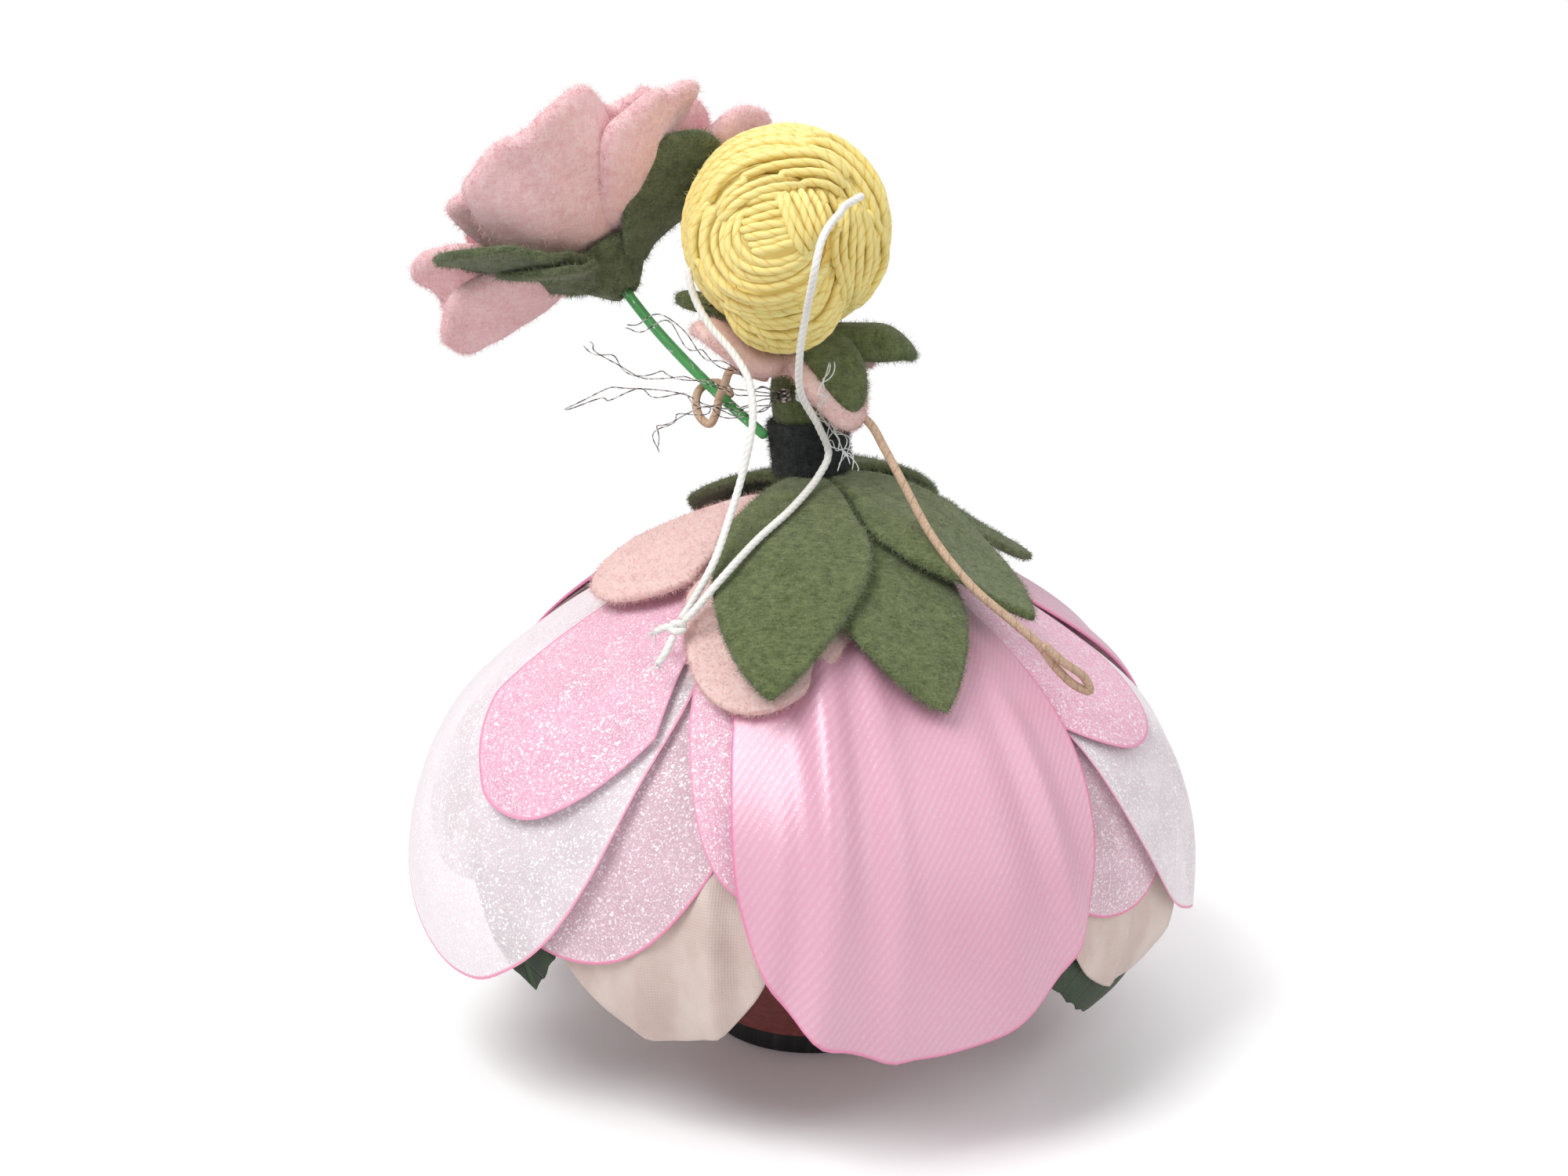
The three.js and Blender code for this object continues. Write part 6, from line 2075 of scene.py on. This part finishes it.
@dataclass
class Wings:
    """Thin metallic threads bound to the bodice's back, given from the torso's top."""

    finishes: dict[str, Finish]
    kink: float = 0.24
    root_drop: float = 2.8
    root_radius: float = 0.8
    radius: float = 0.07
    spread: float = 0.45
    binding: tuple = (0.55, 0.35, 0.3)
    binding_radius: float = 0.2
    left: tuple = (
        ((-6.0, -9.6, 0.2), (-11.4, -10.8, 5.2), (-15.0, -9.8, 7.8), (-19.4, -9.2, 8.0)),
        ((-6.4, -9.8, -1.2), (-13.0, -10.8, 1.8), (-19.4, -9.8, 3.0), (-24.4, -9.4, 7.6)),
        ((-6.4, -9.4, -2.2), (-14.0, -10.4, -0.6), (-20.8, -9.4, 0.6), (-26.6, -8.8, -0.4)),
        ((-5.8, -9.2, -3.6), (-12.2, -10.0, -2.4), (-16.8, -9.4, -3.8), (-18.0, -9.0, -6.4)),
    )
    right: tuple = (
        ((1.6, -8.6, -4.0), (2.4, -11.0, -1.4), (3.4, -11.6, 1.8)),
        ((2.4, -6.4, -5.0), (4.0, -7.4, -8.6), (5.0, -8.6, -11.2)),
        ((2.0, -6.0, -5.6), (3.2, -7.0, -9.2), (3.6, -8.0, -10.8)),
    )

    def curly(self, points: list, seed: int) -> Array:
        """A route with the small kinks of a stiff thread.

        Args:
            points: the route, from the torso's top.
            seed: of its kinks.

        Returns:
            The path.
        """
        path = smooth_curve(leaning(points), 0.2)
        share = np.linspace(0.0, 1.0, len(path))[:, None]
        rng = np.random.default_rng(seed)
        kinks = sum(rng.normal(size=3) * np.sin(rng.uniform(10, 34) * share + rng.uniform(0, 6)) for _ in range(4))
        return path + self.kink * kinks * smoothstep(share, 0.05, 0.3)

    def wing(self, threads: tuple, azimuth: float, seed: int, copies: int) -> Surface:
        """The binding on the bodice, and its threads with a few thinner ones beside each.

        Args:
            threads: their routes.
            azimuth: of the binding.
            seed: of what differs between threads.
            copies: how many lie along each route.

        Returns:
            All of it as one surface.
        """
        radius = float(torso_radius(1.0 - self.root_drop / TORSO_HEIGHT))
        reach = radius + 2 * SEAT_GAP + BODICE_FELT + self.root_radius
        root = outward(np.array(azimuth)) * reach - (0.0, 0.0, self.root_drop)
        parts = []
        for turn in range(4):
            angle = np.linspace(0.0, 2 * np.pi, 40)
            ring = self.binding * np.stack([np.cos(angle), np.sin(angle), np.sin(angle + turn)], axis=1)
            rise = (0.0, 0.1 * turn, 0.25 * turn - 0.4)
            parts.append(tube(leaning(root + ring + rise), self.binding_radius, 6, pitch=1.0))
        rng = np.random.default_rng(seed)
        for number, thread in enumerate(threads):
            for copy in range(copies):
                scatter = rng.normal(size=(len(thread), 3)) * self.spread * min(copy, 1)
                route = [root, *(np.array(thread) + scatter)]
                parts.append(tube(self.curly(route, seed + 10 * number + copy), self.radius, 5, pitch=1.5))
        return Surface.joined(parts)

    def add(self) -> None:
        """Adds the long threads at the left and the wisps at the right."""
        wings = (("left", self.left, -26.0, 2, "metal_thread"), ("right", self.right, -3.0, 3, "white_wisp"))
        for side, threads, azimuth, copies, finish in wings:
            surface = self.wing(threads, azimuth, 60 + copies, copies)
            add_piece(f"wing_{side}", surface, self.finishes[finish], (f"wing_threads_{side}",))


@dataclass(frozen=True)
class RoseLayer:
    """One layer of the rose's petals, each by its turn, its reach, how high it rises and its half width."""

    name: str
    node: str
    felt: str
    height: float
    thickness: float
    petals: tuple


@dataclass
class Rose:
    """The felt rose on its green wire. Its own frame has +Z out of the flower."""

    finishes: dict[str, Finish]
    stem_radius: float = 0.62
    stem_pitch: float = 40.0
    foot: tuple = (-4.9, -2.9, -8.0)
    in_hand: tuple = (-9.4, -0.8, -3.5)
    bend: tuple = (-13.6, 1.1, 1.3)
    upper: tuple = ((-17.0, 3.4, 5.4), (-20.2, 6.2, 9.8))
    facing: tuple = (-0.458, 0.39, 0.797)
    right: tuple = (0.885, 0.15, 0.433)
    rise_radius: float = 20.0
    notch: float = 0.06
    ripples: tuple = (0.045, 0.03)
    cupping: float = 0.16
    rim_roll: float = 3.2
    edge_roll: float = 1.1
    crease: float = 0.9
    puff: float = 0.45
    overlap: float = 0.09
    bud_radius: float = 4.2
    bud_foot: float = 11.2
    bud_height: float = 10.6
    bud_turns: float = 2.6
    bud_wall: float = 0.75
    calyx_hole: float = 1.0
    cup_reach: float = 6.2
    cup_height: float = 5.0
    cup_foot: float = -1.4
    leaf_root: float = 3.4
    calyx_leaves: tuple = ((-26, 20.5, 5.6, 3.6, -28), (-136, 21.0, 6.2, 7.0, -26), (-134, 14.4, 5.8, 4.0, -34))
    layers: tuple = (
        RoseLayer("rose_outer", "rose_petals_outer", "rose_felt", 5.8, 2.6,
                  ((-90, 21, 13.5, 13.0), (-36, 22.5, 9, 9.5), (8, 26, 3.5, 11), (75, 22, 7.5, 11), (140, 22, 8, 11),
                   (180, 21.5, 2, 10.5))),
        RoseLayer("rose_middle", "rose_petals_middle", "rose_felt", 7.6, 2.4,
                  ((-112, 17, 15.5, 10), (-50, 18, 13.5, 10), (14, 20.5, 9, 10), (95, 19, 11, 11),
                   (170, 20.5, 9.5, 11))),
        # The inner petals wear the rose felt painted with crevice shade.
        RoseLayer("rose_inner", "rose_petals_inner", "rose_painted_shade", 9.4, 2.0,
                  ((-120, 12.6, 17, 9), (-30, 12.5, 16.5, 9), (60, 12.5, 16, 9), (150, 13, 16, 9))),
    )

    def placed(self, surface: Surface) -> Surface:
        """A surface of the rose's frame put at the stem's top.

        Args:
            surface: in the rose's frame.

        Returns:
            It in the ornament's frame.
        """
        facing = unit(np.array(self.facing))
        right = np.array(self.right) - facing * (np.array(self.right) @ facing)
        axes = np.array([unit(right), np.cross(facing, unit(right)), facing])
        return surface.placed(lambda points: leaning(points @ axes + self.upper[-1]))

    def cloth(self, grid: Array, thickness: float, edge: Array, flat: Array, hole: bool = False) -> Cloth:
        """A sheet of the rose on a grid in its own frame, with its flat sizes."""
        surface = self.placed(sheet(grid, UP, thickness, edge, flat, hole))
        return Cloth(surface, *flat_size(flat[-1]), spread(grid))

    def petal(self, layer: RoseLayer, petal: tuple, seed: int) -> Cloth:
        """One heart-shaped petal that cups upwards and rolls back at its rim.

        In the petal's own polar grid, the outline's half width grows as the sine of the way out, and its rim
        is notched at the middle. Its height is that of its layer, plus rise ((r - hole) / rise_radius) ** 1.4.

        Args:
            layer: the petal's layer.
            petal: its turn, reach, rise and half width.
            seed: of its ripples.

        Returns:
            The petal.
        """
        turn, reach, rise, wide = petal
        around, rings = 96, 22
        angle = 2 * np.pi * np.arange(around) / around
        along = 0.5 - 0.5 * np.cos(angle)
        side = np.sin(angle)
        notch = self.notch * np.exp(-((side / 0.3) ** 2)) * smoothstep(along, 0.8, 1.0)
        bulb = np.clip(along, 0.0, 1.0) ** 0.62
        line = np.stack([side * wide * (0.32 + 0.68 * bulb) * (0.9 + 0.1 * bulb), along * (1.0 - notch)], axis=1)
        wave = np.random.default_rng(seed).uniform(0, 2 * np.pi, 3)
        broad, fine = self.ripples
        ripple = 1.0 + broad * np.sin(3 * angle + wave[0]) + fine * np.sin(7 * angle + wave[1])
        line[:, 1] = ROSE_HOLE + (reach - ROSE_HOLE) * line[:, 1]
        middle = np.array([0.0, SHEET_MIDDLE * reach])
        line = middle + (line - middle) * ripple[:, None]
        flat, edge = filled(line, middle, 0.06, rings, 1.6)
        aside, radius = flat[..., 0], flat[..., 1]
        height = layer.height + rise * (np.maximum(0.0, radius - ROSE_HOLE) / self.rise_radius) ** 1.4
        share = radius / reach
        cup = self.cupping * (aside / wide) ** 2 * wide * smoothstep(share, 0.2, 0.7)
        roll = self.rim_roll * smoothstep(share, 0.7, 1.05) ** 2 + self.edge_roll * smoothstep(edge, 0.0, 5.0)
        crease = self.crease * np.exp(-((aside / 1.5) ** 2)) * smoothstep(share, 0.35, 0.8)
        puff = self.puff * np.sin(0.55 * aside + 0.3 * radius + wave[2]) * smoothstep(share, 0.3, 0.8)
        overlap = self.overlap * aside * smoothstep(share, 0.15, 0.5)
        local = np.stack([radius, aside, height + cup - roll - crease + puff + overlap], axis=-1)
        return self.cloth(self.spun(local, turn), layer.thickness, edge, flat)

    def calyx_height(self, radius: Array, rise: float) -> Array:
        """The height of the calyx at a radius, where a leaf rises beyond the cup."""
        beyond = np.maximum(0.0, radius - self.cup_reach) / (self.rise_radius - self.cup_reach)
        return self.cup_foot + self.cup_height * smoothstep(radius, 0.0, self.cup_reach) + rise * beyond

    def cup(self) -> Cloth:
        """The funnel round the stem's top, with its flat sizes.

        Returns:
            The cup.
        """
        turn = 2 * np.pi * np.arange(120) / 120
        reach = self.cup_reach + 0.35 * np.sin(3 * turn + 0.5) + 0.2 * np.sin(5 * turn)
        radius = self.calyx_hole + (reach - self.calyx_hole) * np.linspace(0.0, 1.0, 16)[:, None]
        height = self.calyx_height(radius, 0.0) + FELT / 2 + 0.12 * np.sin(4 * turn + radius)
        grid = np.stack([radius * np.cos(turn), radius * np.sin(turn), height], axis=-1)
        edge = np.minimum(reach - radius, radius - self.calyx_hole)
        return self.cloth(grid, FELT, edge, grid[..., :2], hole=True)

    def calyx_leaf(self, leaf: tuple) -> Cloth:
        """One leaf of the calyx, with its flat sizes.

        It has a blunt tip, and it is twisted about its middle line from its root on.

        Args:
            leaf: its turn, reach, half width, rise and twist.

        Returns:
            The leaf.
        """
        turn, reach, half, rise, twist = leaf
        around, rings = 120, 18
        share = 0.5 - 0.5 * np.cos(2 * np.pi * np.arange(around) / around)
        side = np.where(np.arange(around) < around / 2, 1.0, -1.0)
        width = half * 1.3 * share**0.35 * np.sqrt(1.0 - share**3)
        line = resampled(np.stack([side * width, self.leaf_root + share * (reach - self.leaf_root)], axis=1), 0.4)
        middle = np.array([0.0, self.leaf_root + 0.45 * (reach - self.leaf_root)])
        flat, edge = filled(line, middle, 0.06, rings, 1.6)
        across, radius = flat[..., 0], flat[..., 1]
        tilt = math.radians(twist) * smoothstep(radius, self.leaf_root, 0.6 * reach)
        height = self.calyx_height(radius, rise) - 0.25 + 0.03 * across**2 + 0.15 * np.sin(0.9 * radius)
        local = np.stack([radius, across * np.cos(tilt), height + across * np.sin(tilt)], axis=-1)
        return self.cloth(self.spun(local, turn), FELT, edge, flat)

    @staticmethod
    def spun(points: Array, turn: float) -> Array:
        """Points turned about the flower's axis, in degrees.

        Args:
            points: in the rose's frame.
            turn: in degrees.

        Returns:
            The turned points.
        """
        x, y, z = np.moveaxis(points, -1, 0)
        spin = math.radians(turn)
        level = [x * math.cos(spin) - y * math.sin(spin), x * math.sin(spin) + y * math.cos(spin)]
        return np.stack([*level, z], axis=-1)

    def bud(self) -> Surface:
        """A rolled strip of felt, standing in the middle: a spiral wall that leans in at its top.

        Returns:
            The bud in the rose's frame.
        """
        turn = np.linspace(0.0, 2 * np.pi * self.bud_turns, 150)
        grow = np.linspace(0.35, 1.0, len(turn))
        share = np.linspace(0.0, 1.0, 16)
        inner = self.bud_radius * grow[None, :] * (0.45 + 0.55 * np.sin(np.pi * (0.18 + 0.62 * share[:, None])))
        height = self.bud_foot + self.bud_height * share[:, None] * (0.86 + 0.14 * grow[None, :])
        walls = []
        for wall in (inner, inner - self.bud_wall * grow[None, :]):
            walls.append(np.stack([wall * np.cos(turn), wall * np.sin(turn), height], axis=-1))
        loop = np.concatenate([walls[0], walls[1][::-1]])
        loop = np.concatenate([loop, loop[:1]])
        points = np.swapaxes(loop[:-1], 0, 1)
        count, loop_size = points.shape[:2]
        up = np.arange(loop_size // 2 - 1)
        end = np.stack([up, up + 1, loop_size - 2 - up, loop_size - 1 - up], axis=1)
        quads = np.vstack([ring_quads(count, loop_size), end, end[:, ::-1] + (count - 1) * loop_size])
        flat = points.reshape(-1, 3)
        return Surface(flat, flat.copy(), np.ones(len(flat)), quads)

    def add(self) -> None:
        """Adds the stem, the calyx, the petals and the bud."""
        finishes = self.finishes
        path = smooth_curve(leaning((self.foot, self.in_hand, self.bend, *self.upper)), FINE_STEP)
        add_bent_wire("stem", tube(path, self.stem_radius, 14, pitch=self.stem_pitch), finishes["green_wire"],
                      ("stem_lower", "stem_upper"), Body.ROSE, (self.in_hand, self.bend, self.upper[0]))
        calyx = {"calyx_cup": self.cup()}
        for number, leaf in enumerate(self.calyx_leaves, 1):
            calyx[f"calyx_leaf_{number}"] = self.calyx_leaf(leaf)
        for name, cloth in calyx.items():
            add_sheet(name, cloth, finishes["calyx_felt"], "rose_calyx", Nap(finishes["green_nap"]), Body.ROSE)
        for number, layer in enumerate(self.layers):
            felt = finishes[layer.felt]
            for index, petal in enumerate(layer.petals):
                cloth = self.petal(layer, petal, 50 + 10 * number + index)
                add_sheet(f"{layer.name}_{index + 1}", cloth, felt, layer.node,
                          Nap(felt, per_mm2=6.0), Body.ROSE)
        bud = self.placed(self.bud())
        # The heart wears the rose felt painted with crevice shade.
        deep = finishes["rose_painted_shade"]
        add_piece("rose_heart", bud, deep, ("rose_bud",), Body.ROSE)
        add_nap("rose_heart", bud, Nap(deep, 4.0, 0.5), Body.ROSE)


def main() -> None:
    """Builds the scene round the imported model."""
    logging.basicConfig(level=logging.INFO, format="%(name)s: %(message)s")
    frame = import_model()
    studio = Studio()
    studio.add_camera()
    finishes = all_finishes()
    Cord(finishes).add()
    WoodenCore(finishes).add(frame["nodes"])
    Torso(finishes).add()
    Hair(finishes).add()
    Collars(finishes).add()
    Skirt(finishes).add()
    Arms(finishes).add()
    Wings(finishes).add()
    Rose(finishes).add()
    studio.add_surroundings()
    bpy.context.scene.view_settings.view_transform = "Standard"
    bpy.context.view_layer.update()


if __name__ == "__main__":
    main()
